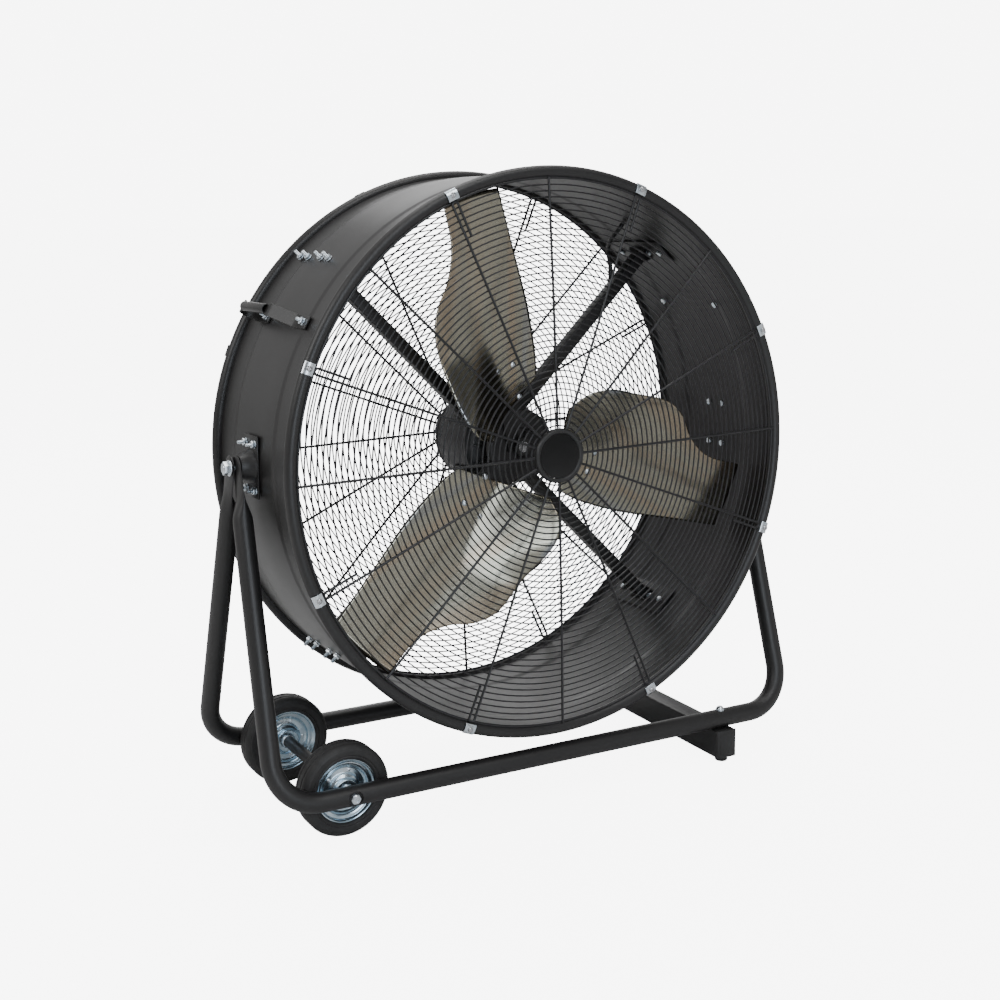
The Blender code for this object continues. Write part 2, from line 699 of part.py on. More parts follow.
def flatten_leg_end(mesh, side, end):
    """Press the tube's end into a flat round-topped tab across the pivot bolt."""
    top = leg_top(side, end)
    down = (base_corner(side, end) - top).normalized()
    tab_middle = FRONT_TAB_MIDDLE if end < 0 else REAR_TAB_MIDDLE
    across = Vector((1.0, 0.0, 0.0)).cross(down).normalized()
    outward = down.cross(across).normalized()
    for vertex in mesh.vertices:
        offset = vertex.co - top
        along = offset.dot(down)
        if side * vertex.co.x < 0 or along > TAB_BLEND_LENGTH:
            continue
        pressed = 1 - smoothstep((along - TAB_FLAT_LENGTH) / (TAB_BLEND_LENGTH - TAB_FLAT_LENGTH))
        thin = offset.dot(outward) * (1 + (TAB_THICKNESS / 2 / TUBE_RADIUS - 1) * pressed)
        wide = offset.dot(across) * (1 + (TAB_HALF_WIDTH / TUBE_RADIUS - 1) * pressed)
        if along < 0:
            wide *= sqrt(1 - (along / TAB_HALF_WIDTH) ** 2)
        shift = (side * tab_middle - (top + down * along).x) * pressed
        vertex.co = top + down * along + outward * thin + across * wide
        vertex.co.x += shift


def make_stand_loop(name, end):
    rows = [-0.0182, -0.0165, -0.0125, -0.007, 0.0, 0.018, TAB_FLAT_LENGTH, 0.048, 0.060, 0.072,
            TAB_BLEND_LENGTH]
    left_top, right_top = leg_top(-1, end), leg_top(1, end)
    left_corner, right_corner = base_corner(-1, end), base_corner(1, end)
    left_down = (left_corner - left_top).normalized()
    right_down = (right_corner - right_top).normalized()
    points = [left_top + left_down * row for row in rows]
    points += bend_points(left_corner, left_top, right_corner)
    points += bend_points(right_corner, left_corner, right_top)
    points += [right_top + right_down * row for row in reversed(rows)]
    mesh = mesh_of_curve(tube_curve(name, points, TUBE_RADIUS, 3, BLACK_COAT))
    flatten_leg_end(mesh, -1, end)
    flatten_leg_end(mesh, 1, end)
    clear = 0.0003
    pivot_hole = moved(cylinder_mesh("pivot holes", PIVOT_BOLT_RADIUS + clear, -0.6, 0.6, 16),
                       Matrix.Translation((0.0, 0.0, PIVOT_HEIGHT))
                       @ Matrix.Rotation(pi / 2, 4, "Y"))
    axle_hole = cylinder_mesh("axle hole", AXLE_RADIUS + clear, BASE_Y - 0.03, BASE_Y + 0.03, 16)
    dimple = cylinder_mesh("axle dimple", DIMPLE_RADIUS, DIMPLE_PLANE, DIMPLE_PLANE + 0.02, 24)
    turn = Matrix.Rotation(-end * pi / 2, 4, "X")
    for tool in (axle_hole, dimple):
        tool.transform(Matrix.Translation((WHEEL_X, 0.0, BASE_HEIGHT)) @ turn)
    foot_hole = moved(cylinder_mesh("foot bolt hole", FOOT_BOLT_RADIUS + clear, -0.03, 0.03, 16),
                      Matrix.Translation((FOOT_X, end * BASE_Y, BASE_HEIGHT)))
    loop = combine(name, mesh, cuts=[pivot_hole, axle_hole, dimple, foot_hole])
    smooth(add_object(name, loop, BLACK_COAT))


def make_cross_foot():
    across = FOOT_WIDTH / 2
    half = FOOT_HEIGHT / 2
    centre_z = FOOT_BOTTOM + half
    outer = box_mesh("foot beam", (-across, -FOOT_HALF_LENGTH, -half),
                     (across, FOOT_HALF_LENGTH, half))
    hollow = box_mesh("foot hollow",
                      (FOOT_WALL - across, -FOOT_HALF_LENGTH - 0.01, FOOT_WALL - half),
                      (across - FOOT_WALL, FOOT_HALF_LENGTH + 0.01, half - FOOT_WALL))
    holes = []
    for end in (-1, 1):
        holes.append(moved(cylinder_mesh("foot bolt hole", FOOT_BOLT_RADIUS + GAP, 0.0, 0.03, 16),
                           Matrix.Translation((0.0, end * BASE_Y, 0.0))))
    beam = combine("cross foot", outer, cuts=[hollow, *holes])
    add_object("cross_foot_beam", beam, BLACK_COAT, location=(FOOT_X, 0.0, centre_z))
    plug_across = across - FOOT_WALL - GAP
    plug_half = half - FOOT_WALL - GAP
    for word, end in (("front", -1), ("rear", 1)):
        start = FOOT_HALF_LENGTH + GAP
        face = box_mesh("cap face", (-across, start, -half),
                        (across, start + CAP_THICKNESS, half), 0.0008)
        tongue = box_mesh("cap plug", (-plug_across, start - 0.009, -plug_half),
                          (plug_across, start + 0.001, plug_half))
        cap = combine("foot cap", face, unions=[tongue])
        cap.transform(Matrix.Rotation(pi if end < 0 else 0.0, 4, "Z"))
        add_object(f"foot_cap_{word}", cap, BLACK_PLASTIC, location=(FOOT_X, 0.0, centre_z))
        pad = cylinder_mesh("foot pad", PAD_FOOT_RADIUS, 0.0, FOOT_BOTTOM - GAP, 24,
                            PAD_TOP_RADIUS)
        add_object(f"foot_pad_{word}", pad, BLACK_RUBBER, location=(FOOT_X, end * PAD_Y, 0.0))
        head_start = BASE_HEIGHT + TUBE_RADIUS + GAP
        head_radius = 0.0078
        bolt = [(0.0, head_start + 0.0065), (head_radius, head_start + 0.0065),
                (head_radius, head_start), (FOOT_BOLT_RADIUS, head_start),
                (FOOT_BOLT_RADIUS, FOOT_TOP - 0.018), (0.0, FOOT_TOP - 0.018)]
        turned(f"foot_bolt_{word}", bolt, ZINC, 16, location=(FOOT_X, end * BASE_Y, 0.0))


# Wheels -----------------------------------------------------------------------
def make_axle():
    place = (WHEEL_X, 0.0, BASE_HEIGHT)
    turned("axle_rod", [(0.0, AXLE_HALF_LENGTH), (AXLE_RADIUS, AXLE_HALF_LENGTH),
                        (AXLE_RADIUS, -AXLE_HALF_LENGTH), (0.0, -AXLE_HALF_LENGTH)],
           ZINC, 16, location=place, rotation=FACE_FORWARD)
    spacer_half = WHEEL_Y - BUSH_HALF_LENGTH - GAP
    turned("axle_spacer", ring_profile(AXLE_RADIUS + GAP, 0.010, -spacer_half, spacer_half),
           BLACK_COAT, 16, location=place, rotation=FACE_FORWARD)
    for word, end in (("front", 1), ("rear", -1)):
        start = DIMPLE_PLANE + GAP
        nut = [(r, end * z) for r, z in ring_profile(AXLE_RADIUS + GAP, NUT_RADIUS, start,
                                                     start + NUT_THICKNESS)]
        turned(f"axle_nut_{word}", nut, ZINC, 16, location=place, rotation=FACE_FORWARD)


def mirrored_profile(half):
    """A profile completed by its mirror image below the middle plane."""
    return half + [(r, -z) for r, z in reversed(half)]


def make_wheels():
    half = TYRE_WIDTH / 2
    tyre = mirrored_profile([(TYRE_INNER, half - 0.004), (TYRE_INNER + 0.004, half),
                             (WHEEL_RADIUS - 0.006, half - 0.001), (WHEEL_RADIUS, half - 0.007)])
    disc = mirrored_profile([(BUSH_OUTER + GAP, DISC_HALF_WIDTH), (0.019, DISC_HALF_WIDTH),
                             (0.021, 0.008), (0.040, 0.008), (0.043, half - 0.004),
                             (TYRE_INNER - GAP, half - 0.004)])
    for word, end in (("front", -1), ("rear", 1)):
        place = (WHEEL_X, end * WHEEL_Y, BASE_HEIGHT)
        turned(f"tyre_{word}", tyre, BLACK_RUBBER, 40, location=place, rotation=FACE_FORWARD)
        turned(f"wheel_disc_{word}", disc, ZINC, 24, location=place, rotation=FACE_FORWARD)
        turned(f"wheel_bush_{word}", ring_profile(AXLE_RADIUS + GAP, BUSH_OUTER,
                                                  -BUSH_HALF_LENGTH, BUSH_HALF_LENGTH),
               BRONZE, 16, location=place, rotation=FACE_FORWARD)


# Switch box and motor lead ----------------------------------------------------
def make_switch_box():
    turn = (0.0, BOX_AZIMUTH, 0.0)
    half = BOX_WIDTH / 2
    bottom = SEAT_OUTSIDE + 0.0003
    shell = box_mesh("box shell", (-half, BOX_FRONT, bottom), (half, BOX_REAR, BOX_TOP), 0.003)
    hollow = box_mesh("box hollow",
                      (-half + BOX_WALL, BOX_FRONT + BOX_WALL, bottom - 0.02),
                      (half - BOX_WALL, BOX_REAR - BOX_WALL, BOX_TOP - BOX_WALL))
    stem_radius = 0.003
    hole = moved(cylinder_mesh("stem hole", stem_radius + 0.0005, BOX_TOP - 0.01, BOX_TOP + 0.01,
                               16), Matrix.Translation((0.0, KNOB_Y, 0.0)))
    gland_height = 0.478
    gland_radius = 0.006
    gland_hole = moved(cylinder_mesh("gland hole", gland_radius + GAP, -0.02, 0.02, 20),
                       Matrix.Translation((0.0, BOX_REAR, gland_height))
                       @ Matrix.Rotation(pi / 2, 4, "X"))
    box = combine("switch box", shell, cuts=[hollow, hole, gland_hole])
    add_object("switch_box", box, BLACK_PLASTIC, DRUM_PIVOT, rotation=turn)
    switch_top = BOX_TOP - BOX_WALL - GAP
    switch = box_mesh("rotary switch", (-0.015, KNOB_Y - 0.014, switch_top - 0.022),
                      (0.015, KNOB_Y + 0.014, switch_top))
    socket = moved(cylinder_mesh("stem socket", stem_radius + GAP, switch_top - 0.012,
                                 switch_top + 0.01, 16), Matrix.Translation((0.0, KNOB_Y, 0.0)))
    add_object("rotary_switch", combine("rotary switch", switch, cuts=[socket]), BLACK_PLASTIC,
               DRUM_PIVOT, rotation=turn)
    capacitor = moved(cylinder_mesh("run capacitor", 0.014, -0.024, 0.024, 24),
                      Matrix.Translation((0.010, -0.030, 0.477)) @ Matrix.Rotation(pi / 2, 4, "X"))
    add_object("run_capacitor", capacitor, BRIGHT_STEEL, DRUM_PIVOT, rotation=turn)
    knob_base = BOX_TOP + 0.0005
    knob = [(0.0, KNOB_TOP), (KNOB_RADIUS - 0.002, KNOB_TOP), (KNOB_RADIUS, KNOB_TOP - 0.003),
            (KNOB_RADIUS + 0.001, knob_base), (stem_radius, knob_base),
            (stem_radius, switch_top - 0.010), (0.0, switch_top - 0.010)]
    spoke = Matrix.Rotation(BOX_AZIMUTH, 4, "Y") @ Vector((0.0, KNOB_Y, 0.0))
    turned("switch_knob", knob, BLACK_PLASTIC, 24, DRUM_PIVOT, location=spoke, rotation=turn)
    gland = [(0.0042, 0.010), (gland_radius, 0.010), (gland_radius, -GAP), (0.0095, -GAP),
             (0.0095, -0.012), (0.0075, -GLAND_LENGTH), (0.0042, -GLAND_LENGTH)]
    place = Matrix.Rotation(BOX_AZIMUTH, 4, "Y") @ Vector((0.0, BOX_REAR, gland_height))
    turned("cable_gland", gland, BLACK_PLASTIC, 20, DRUM_PIVOT, location=place,
           rotation=FACE_FORWARD)


def in_drum(radius, azimuth, y):
    return Vector((radius * sin(azimuth), y, radius * cos(azimuth)))


def make_motor_lead():
    """From the switch box through the drum wall, down the back of an arm to the motor."""
    rear_of_arm = ARM_MIDDLE + ARM_DEPTH / 2 + LEAD_RADIUS + 0.002
    arm = ARM_AZIMUTHS[0]
    places = [(0.4545, 0.60, 0.012), (0.440, 0.60, 0.014), (0.424, 0.62, 0.036),
              (0.412, 0.67, 0.062), (0.395, 0.74, rear_of_arm + 0.006), (0.360, arm, rear_of_arm),
              (0.280, arm, rear_of_arm), (0.200, arm, rear_of_arm), (0.130, arm, rear_of_arm),
              (0.095, arm, rear_of_arm), (0.0755, arm, rear_of_arm + 0.001)]
    route = smooth_route([in_drum(*place) for place in places], 3)
    tube_curve("motor_lead", route, LEAD_RADIUS, 2, BLACK_PLASTIC, DRUM_PIVOT)


def main():
    make_drum_shell()
    make_grilles()
    make_badge()
    make_grille_clips()
    make_handles()
    make_motor()
    make_motor_arms()
    make_shaft_and_core()
    make_hub_spider()
    make_blades()
    make_pivots()
    make_stand_loop("stand_loop_front", -1)
    make_stand_loop("stand_loop_rear", 1)
    make_cross_foot()
    make_axle()
    make_wheels()
    make_switch_box()
    make_motor_lead()


main()
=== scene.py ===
"""The looks of the axial air mover: a 36 inch drum fan that tilts in a wheeled tube stand.

Metres, +Z up, front of the fan at -Y. Pieces on the drum are modelled in the drum's own
frame, whose origin is the tilt pivot. An azimuth is measured from straight up towards +X,
as seen from the front.
"""
from math import asin, atan, cos, hypot, pi, radians, sin, sqrt, tan, tau

import bmesh
import bpy
from mathutils import Matrix, Vector


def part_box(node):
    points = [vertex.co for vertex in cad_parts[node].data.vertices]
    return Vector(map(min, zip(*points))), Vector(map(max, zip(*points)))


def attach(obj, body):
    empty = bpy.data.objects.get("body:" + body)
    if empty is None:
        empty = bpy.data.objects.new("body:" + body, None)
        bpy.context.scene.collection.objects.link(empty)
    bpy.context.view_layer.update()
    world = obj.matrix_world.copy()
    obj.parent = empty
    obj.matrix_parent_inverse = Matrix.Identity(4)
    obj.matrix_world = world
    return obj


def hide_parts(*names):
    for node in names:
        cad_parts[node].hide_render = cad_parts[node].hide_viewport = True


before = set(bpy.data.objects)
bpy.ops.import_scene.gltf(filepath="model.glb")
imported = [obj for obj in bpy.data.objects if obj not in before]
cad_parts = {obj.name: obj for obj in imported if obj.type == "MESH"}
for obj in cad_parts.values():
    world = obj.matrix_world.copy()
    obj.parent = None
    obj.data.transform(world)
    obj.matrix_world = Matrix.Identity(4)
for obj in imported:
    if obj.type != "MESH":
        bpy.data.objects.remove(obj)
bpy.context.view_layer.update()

# Frames -----------------------------------------------------------------------
PIVOT_HEIGHT = (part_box("pivot_bolt_left")[0][2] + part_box("pivot_bolt_left")[1][2]) / 2
REST_TILT = radians(-1.36)
DRUM = Matrix.Translation((0.0, 0.0, PIVOT_HEIGHT)) @ Matrix.Rotation(REST_TILT, 4, "X")
FORWARD = Matrix.Rotation(pi / 2, 4, "X")      # turns local +Z to the front, -Y
FACE = DRUM @ FORWARD

# Drum and guards
BEAD_RADIUS = 0.0099
BEAD_PITCH_RADIUS = 0.4601
BEAD_PLANE = 0.1627
WALL_OUTER = 0.458
WALL_THICKNESS = 0.002
STEP_PLANE = 0.086               # the wall's middle band is swaged out to here
STEP_HALF_WIDTH = 0.007
STEP_DEPTH = 0.0018
SEAT_OUTSIDE = WALL_OUTER + 0.0005
SEAT_INSIDE = 0.4543
RING_FIRST = 0.049
RING_PITCH = 0.010
RING_COUNT = 40
RING_WIRE = 0.00130
SPOKE_COUNT = 16
SPOKE_PHASE = radians(21.3)
SPOKE_WIRE = 0.0021
HOOP_RADIUS = 0.4500
HOOP_WIRE = 0.0024
DISH_EDGE = 0.1665               # distance of the guard's wires from the pivot at the rim
DISH_CENTRE = 0.1745
HOOK_HALF = 0.0050               # a spoke at a clip is bent back on itself by the rim
HOOK_END = 0.390
HOOK_TURN = 0.4450
CLIP_COUNT = 8
CLIP_HALF_WIDTH = 0.0098
CLIP_SHEET = 0.0022
CLIP_END_ANGLE = 0.60            # the clip ends this far round the bead from its outermost line
BADGE_RADIUS = 0.045
BADGE_FACE = 0.1835
BADGE_LIP = 0.0372               # radius where the bezel meets the face

# Motor and arms
MOTOR_RADIUS = 0.075
MOTOR_FRONT = -0.010
MOTOR_REAR = 0.131
BELL_DEPTH = 0.022
BELL_RIBS = 12
BELL_BOLT_CIRCLE = 0.0655
ARM_AZIMUTHS = [radians(a) for a in (45.0, 135.0, 225.0, 315.0)]
ARM_WIDTH = 0.021
ARM_DEPTH = 0.023
ARM_MIDDLE = 0.0465
ARM_FOOT_WIDTH = 0.054
ARM_FOOT_FRONT = -0.029
ARM_FOOT_REAR = 0.126
ARM_BOLT_PLACES = (-0.010, 0.022, 0.075, 0.107)

# Rotor
BLADE_AZIMUTHS = [radians(a) for a in (0.0, 120.0, 240.0)]
BLADE_THICKNESS = 0.002
FRONT_EDGE = [(-0.086, 0.020), (-0.125, 0.035), (-0.152, 0.075), (-0.168, 0.125),
              (-0.188, 0.195), (-0.181, 0.242), (-0.157, 0.285), (-0.146, 0.340),
              (-0.1605, 0.4075)]
REAR_EDGE = [(0.035, 0.115), (0.033, 0.160), (0.016, 0.242), (-0.014, 0.335), (-0.0458, 0.4356)]
PANEL_Y = -0.057
PANEL_SLOPE = 0.23
CREASE_AZIMUTH = radians(-22.5)
CREASE_SLOPE = 0.12
CREASE_SOFTNESS = 0.010
ROOT_SLOPE = 0.36
ROOT_SLOPE_START = 0.240
ROOT_SLOPE_LENGTH = 0.120
SHAFT_RADIUS = 0.010
SHAFT_REAR = 0.119
HUB_RADIUS = 0.032
HUB_DISC_RADIUS = 0.062
HUB_FRONT = -0.060
HUB_DISC_REAR = -0.046
HUB_REAR = -0.018
TONGUE_AZIMUTH = radians(-14.5)
TONGUE_LENGTH = 0.160
TONGUE_WIDTH = 0.056
TONGUE_THICKNESS = 0.004
RIVET_ROWS = (0.083, 0.140)
RIVET_OFFSET = 0.018

# Pivot
BRACKET_WIDTH = 0.058
BRACKET_HEIGHT = 0.100
BRACKET_THICKNESS = 0.003
BRACKET_SCREW_X = 0.037
BRACKET_SCREW_Y = 0.019
BOSS_FACE = 0.4845
BOSS_RADIUS = 0.021
TAB_THICKNESS = 0.0055
FRONT_TAB_MIDDLE = 0.48775
REAR_TAB_MIDDLE = 0.49375
PIVOT_HEAD_START = 0.4968
PIVOT_HEAD_END = 0.5095

# Stand
TUBE_RADIUS = 0.016
LEG_TOP_X = 0.4875
LEG_TOP_Y = 0.007
CORNER_X = 0.4916
BASE_Y = 0.1632
BASE_HEIGHT = 0.075
BEND_RADIUS = 0.075
TAB_HALF_WIDTH = 0.019
TAB_FLAT_LENGTH = 0.036
TAB_BLEND_LENGTH = 0.085
FOOT_X = 0.350
FOOT_WIDTH = 0.040
FOOT_HEIGHT = 0.050
PAD_Y = 0.169
FOOT_HALF_LENGTH = 0.1815
FOOT_TOP = BASE_HEIGHT - TUBE_RADIUS - 0.0003
FOOT_BOTTOM = FOOT_TOP - FOOT_HEIGHT

# Wheels
WHEEL_X = -0.3658
WHEEL_RADIUS = 0.075
WHEEL_Y = 0.1245
TYRE_INNER = 0.0503
TYRE_HALF_WIDTH = 0.021
AXLE_RADIUS = 0.0075
AXLE_HALF_LENGTH = 0.1822
AXLE_CHAMFER = 0.0014
BORE_GAP = 0.0003
BUSH_HALF_LENGTH = 0.0224
RIM_RIVET_CIRCLE = 0.0312
DIMPLE_PLANE = 0.1745
DIMPLE_RADIUS = 0.0125

# Handles and switch box
HANDLE_AZIMUTH = radians(60.0)
HANDLE_WIDTH = 0.022
HANDLE_THICKNESS = 0.0025
CORE_WIDTH = 0.011               # the strap inside the grip
GRIP_RADIUS = 0.0083
GRIP_INNER = 0.0068
GRIP_ENDS = (-0.001, 0.099)
GRIP_HEIGHT = 0.4955             # the strap's middle in the grip
HANDLE_BOLT_Y = 0.078
HANDLE_TURN_Y = 0.105            # middle of the strap's round end
BOX_AZIMUTH = radians(35.0)
BOX_FRONT = -0.060
BOX_REAR = 0.050
BOX_WIDTH = 0.066
BOX_TOP = 0.4975
KNOB_Y = 0.020
KNOB_RADIUS = 0.016
KNOB_TOP = 0.5145
KNOB_RIDGES = 24
GLAND_RIDGES = 12
GLAND_HEIGHT = 0.478
LEAD_RADIUS = 0.004
LEAD_CLIP_RADII = (0.150, 0.270, 0.372)

BOLT_RADIUS = 0.003
THREAD_PITCH = 0.00125
SHARP = radians(32)              # edges that turn more than this stay sharp

# Studio
BACKDROP = 7.5                   # brightness of the backdrop as the camera sees it
BEHIND = 0.72                    # and as it lights the object, from behind
BEFORE = 0.16                    # and from the dark room in front
FLOOR_GLOW = 7.0
FLOOR_REACH = 30.0
LIGHT_AIM = (0.0, 0.0, 0.5)
LENS = 54.94                     # millimetres, on a 36 mm sensor
SENSOR = 36.0
LENS_SHIFT = (0.0081, -0.1350)
CAMERA_PLACE = (-1.2857, -2.2648, 1.0287)
CAMERA_TILT = radians(83.10)
CAMERA_TURN = radians(-29.10)


# Materials --------------------------------------------------------------------
def set_inputs(node, **values):
    """Sets inputs by name, with an underscore for each space."""
    for name, value in values.items():
        node.inputs[name.replace("_", " ")].default_value = value


def start_material(name, roughness, metallic):
    mat = bpy.data.materials.new(name)
    mat.use_nodes = True
    shader = mat.node_tree.nodes["Principled BSDF"]
    set_inputs(shader, Roughness=roughness, Metallic=metallic)
    return mat, mat.node_tree, shader


def texture_place(tree, stretch=(1.0, 1.0, 1.0)):
    place = tree.nodes.new("ShaderNodeTexCoord")
    mapping = tree.nodes.new("ShaderNodeMapping")
    set_inputs(mapping, Scale=stretch)
    tree.links.new(place.outputs["Object"], mapping.inputs["Vector"])
    return mapping.outputs["Vector"]


def noise(tree, vector, scale, detail=3.0):
    node = tree.nodes.new("ShaderNodeTexNoise")
    set_inputs(node, Scale=scale, Detail=detail, Roughness=0.55)
    tree.links.new(vector, node.inputs["Vector"])
    return node.outputs["Fac"]


def colour_ramp(tree, factor, *stops):
    """Stops are (place, (r, g, b))."""
    ramp = tree.nodes.new("ShaderNodeValToRGB")
    elements = ramp.color_ramp.elements
    while len(elements) < len(stops):
        elements.new(0.5)
    for element, (place, colour) in zip(elements, stops):
        element.position = place
        element.color = (*colour, 1.0)
    tree.links.new(factor, ramp.inputs["Fac"])
    return ramp.outputs["Color"]


def spread(tree, factor, low, high, start=0.3, end=0.7):
    """The factor's range from start to end becomes low to high."""
    node = tree.nodes.new("ShaderNodeMapRange")
    set_inputs(node, From_Min=start, From_Max=end, To_Min=low, To_Max=high)
    tree.links.new(factor, node.inputs["Value"])
    return node.outputs["Result"]


def bump(tree, shader, height, strength, distance):
    node = tree.nodes.new("ShaderNodeBump")
    set_inputs(node, Strength=strength, Distance=distance)
    tree.links.new(height, node.inputs["Height"])
    tree.links.new(node.outputs["Normal"], shader.inputs["Normal"])


def surface(name, roughness, metallic, cloud, stops, gloss, grain, depth,
            stretch=(1.0, 1.0, 1.0)):
    """A surface with clouded colour and roughness and a fine bump.

    cloud and grain are (scale, detail) of their noise, stops the colour's (place, colour), gloss
    the roughness noise's scale with its low and high, depth the bump's strength and height.
    """
    mat, tree, shader = start_material(name, roughness, metallic)
    place = texture_place(tree, stretch)
    colour = colour_ramp(tree, noise(tree, place, *cloud), *stops)
    tree.links.new(colour, shader.inputs["Base Color"])
    scale, low, high = gloss
    tree.links.new(spread(tree, noise(tree, place, scale), low, high), shader.inputs["Roughness"])
    bump(tree, shader, noise(tree, place, *grain), *depth)
    return mat


def blade_sheet():
    """Rolled aluminium sheet, its grain along the blade, with painted reflections: brown and blue
    streaks along it.
    """
    mat, tree, shader = start_material("rolled aluminium", 0.20, 1.0)
    grain_place = texture_place(tree, (14.0, 14.0, 0.9))
    grain = noise(tree, grain_place, 50.0, 3.0)
    # painted reflections: the brown and blue streaks along the blade stand in for warm and cool
    # things mirrored in the sheet
    painted_reflection_streaks = noise(tree, texture_place(tree, (11.0, 11.0, 0.6)), 1.6, 2.0)
    tree.links.new(colour_ramp(tree, painted_reflection_streaks, (0.36, (0.38, 0.32, 0.24)),
                               (0.46, (0.36, 0.345, 0.28)), (0.56, (0.37, 0.355, 0.29)),
                               (0.66, (0.34, 0.36, 0.38))), shader.inputs["Base Color"])
    tree.links.new(spread(tree, grain, 0.15, 0.24), shader.inputs["Roughness"])
    bump(tree, shader, grain, 0.05, 0.0001)
    return mat


def floor_paper():
    """White paper that shows brighter than it lights the object, least of all in front."""
    mat, tree, shader = start_material("pale floor", 0.6, 0.0)
    place = texture_place(tree)
    split = tree.nodes.new("ShaderNodeSeparateXYZ")
    tree.links.new(place, split.inputs["Vector"])
    tree.links.new(spread(tree, split.outputs["Y"], 0.50, 0.80, -1.0, 0.5),
                   shader.inputs["Base Color"])
    tree.links.new(spread(tree, noise(tree, place, 3.0), 0.62, 0.72), shader.inputs["Roughness"])
    bump(tree, shader, noise(tree, place, 250.0, 2.0), 0.05, 0.0005)
    set_inputs(shader, Emission_Color=(1.0, 1.0, 1.0, 1.0))
    path = tree.nodes.new("ShaderNodeLightPath")
    glow = tree.nodes.new("ShaderNodeMath")
    glow.operation = "MULTIPLY"
    glow.inputs[1].default_value = FLOOR_GLOW
    tree.links.new(path.outputs["Is Camera Ray"], glow.inputs[0])
    tree.links.new(glow.outputs["Value"], shader.inputs["Emission Strength"])
    return mat


# satin black with the fine orange peel of powder coating
COAT = surface("black powder coat", 0.42, 0.0, (4.0, 3.0),
               [(0.3, (0.0120, 0.0115, 0.0115)), (0.7, (0.0150, 0.0143, 0.0142))],
               (5.0, 0.40, 0.45), (620.0, 2.0), (0.16, 0.0004))
# the guards' dipped coat: glossier, with small thick and thin stretches
WIRE = surface("black wire coat", 0.35, 0.0, (30.0, 3.0),
               [(0.3, (0.010, 0.010, 0.011)), (0.7, (0.018, 0.018, 0.019))],
               (120.0, 0.28, 0.42), (300.0, 2.0), (0.15, 0.0004))
# black moulded plastic with a fine spark-eroded grain
PLASTIC = surface("black moulded plastic", 0.42, 0.0, (14.0, 3.0),
                  [(0.3, (0.011, 0.011, 0.011)), (0.7, (0.019, 0.019, 0.019))],
                  (60.0, 0.36, 0.50), (1400.0, 1.0), (0.25, 0.0003))
# the badge's polished black face
GLOSS = surface("gloss black face", 0.10, 0.0, (20.0, 3.0),
                [(0.3, (0.0040, 0.0040, 0.0042)), (0.7, (0.0070, 0.0070, 0.0072))],
                (90.0, 0.08, 0.16), (60.0, 1.0), (0.04, 0.0006))
# matt black rubber, slightly dusty, with a moulded grain
RUBBER = surface("black rubber", 0.7, 0.0, (24.0, 5.0),
                 [(0.32, (0.012, 0.012, 0.012)), (0.72, (0.026, 0.025, 0.024))],
                 (50.0, 0.52, 0.74), (900.0, 3.0), (0.35, 0.0004))
# bright passivated zinc: bluish, with pale and straw-coloured clouds
ZINC = surface("zinc plate", 0.3, 1.0, (42.0, 4.0),
               [(0.25, (0.56, 0.67, 0.76)), (0.50, (0.76, 0.80, 0.83)),
                (0.68, (0.66, 0.75, 0.82)), (0.85, (0.80, 0.77, 0.68))],
               (160.0, 0.20, 0.38), (520.0, 2.0), (0.12, 0.0003))
# the wheel rims: thicker blue passivation over pressed steel
RIM_ZINC = surface("blue zinc", 0.24, 1.0, (26.0, 3.0),
                   [(0.28, (0.40, 0.58, 0.72)), (0.50, (0.58, 0.71, 0.80)),
                    (0.72, (0.74, 0.80, 0.83))],
                   (80.0, 0.18, 0.28), (400.0, 2.0), (0.05, 0.0002))
# ground steel with fine turning marks
STEEL = surface("bright steel", 0.28, 1.0, (60.0, 3.0),
                [(0.3, (0.46, 0.46, 0.47)), (0.7, (0.62, 0.62, 0.63))],
                (200.0, 0.20, 0.36), (260.0, 2.0), (0.10, 0.0002), stretch=(1.0, 12.0, 1.0))
BLADE = blade_sheet()
# dark grey enamel over cast ends
MOTOR = surface("motor enamel", 0.45, 0.0, (16.0, 4.0),
                [(0.3, (0.050, 0.051, 0.053)), (0.7, (0.072, 0.073, 0.076))],
                (70.0, 0.36, 0.52), (330.0, 3.0), (0.30, 0.0005))
COPPER = surface("copper winding", 0.30, 1.0, (90.0, 3.0),
                 [(0.3, (0.42, 0.16, 0.07)), (0.7, (0.68, 0.32, 0.16))],
                 (200.0, 0.30, 0.45), (420.0, 2.0), (0.20, 0.0003))
SLOTS = {"black_coat": COAT, "black_plastic": PLASTIC, "black_rubber": RUBBER,
         "tyre_rubber": RUBBER, "zinc": ZINC, "bright_steel": STEEL, "blade_aluminium": BLADE,
         "motor_paint": MOTOR}


# Modelling helpers ------------------------------------------------------------
def radial(azimuth, base=DRUM):
    """Local z outwards along an azimuth, y towards the rear, x round the drum."""
    return base @ spin(azimuth, "Y")


def shift(x, y, z):
    return Matrix.Translation((x, y, z))


def spin(angle, axis="Z"):
    return Matrix.Rotation(angle, 4, axis)


def piece(obj, body, slot, *nodes, mat=None):
    """Gives a piece its material, its slot's unless another is given, and its body, and hides the
    CAD nodes it stands for.
    """
    obj.data.materials.clear()
    obj.data.materials.append(mat or SLOTS[slot])
    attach(obj, body)
    if nodes:
        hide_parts(*nodes)
    return obj


def object_from(name, bm, matrix=None, angle=SHARP):
    bmesh.ops.recalc_face_normals(bm, faces=bm.faces)
    mesh = bpy.data.meshes.new(name)
    bm.to_mesh(mesh)
    bm.free()
    mesh.shade_smooth()
    mesh.set_sharp_from_angle(angle=angle)
    obj = bpy.data.objects.new(name, mesh)
    if matrix is not None:
        obj.matrix_world = matrix
    bpy.context.scene.collection.objects.link(obj)
    return obj


def solid(name, bm, body, slot, *nodes, mat=None):
    """A piece from a mesh in the making."""
    return piece(object_from(name, bm), body, slot, *nodes, mat=mat)


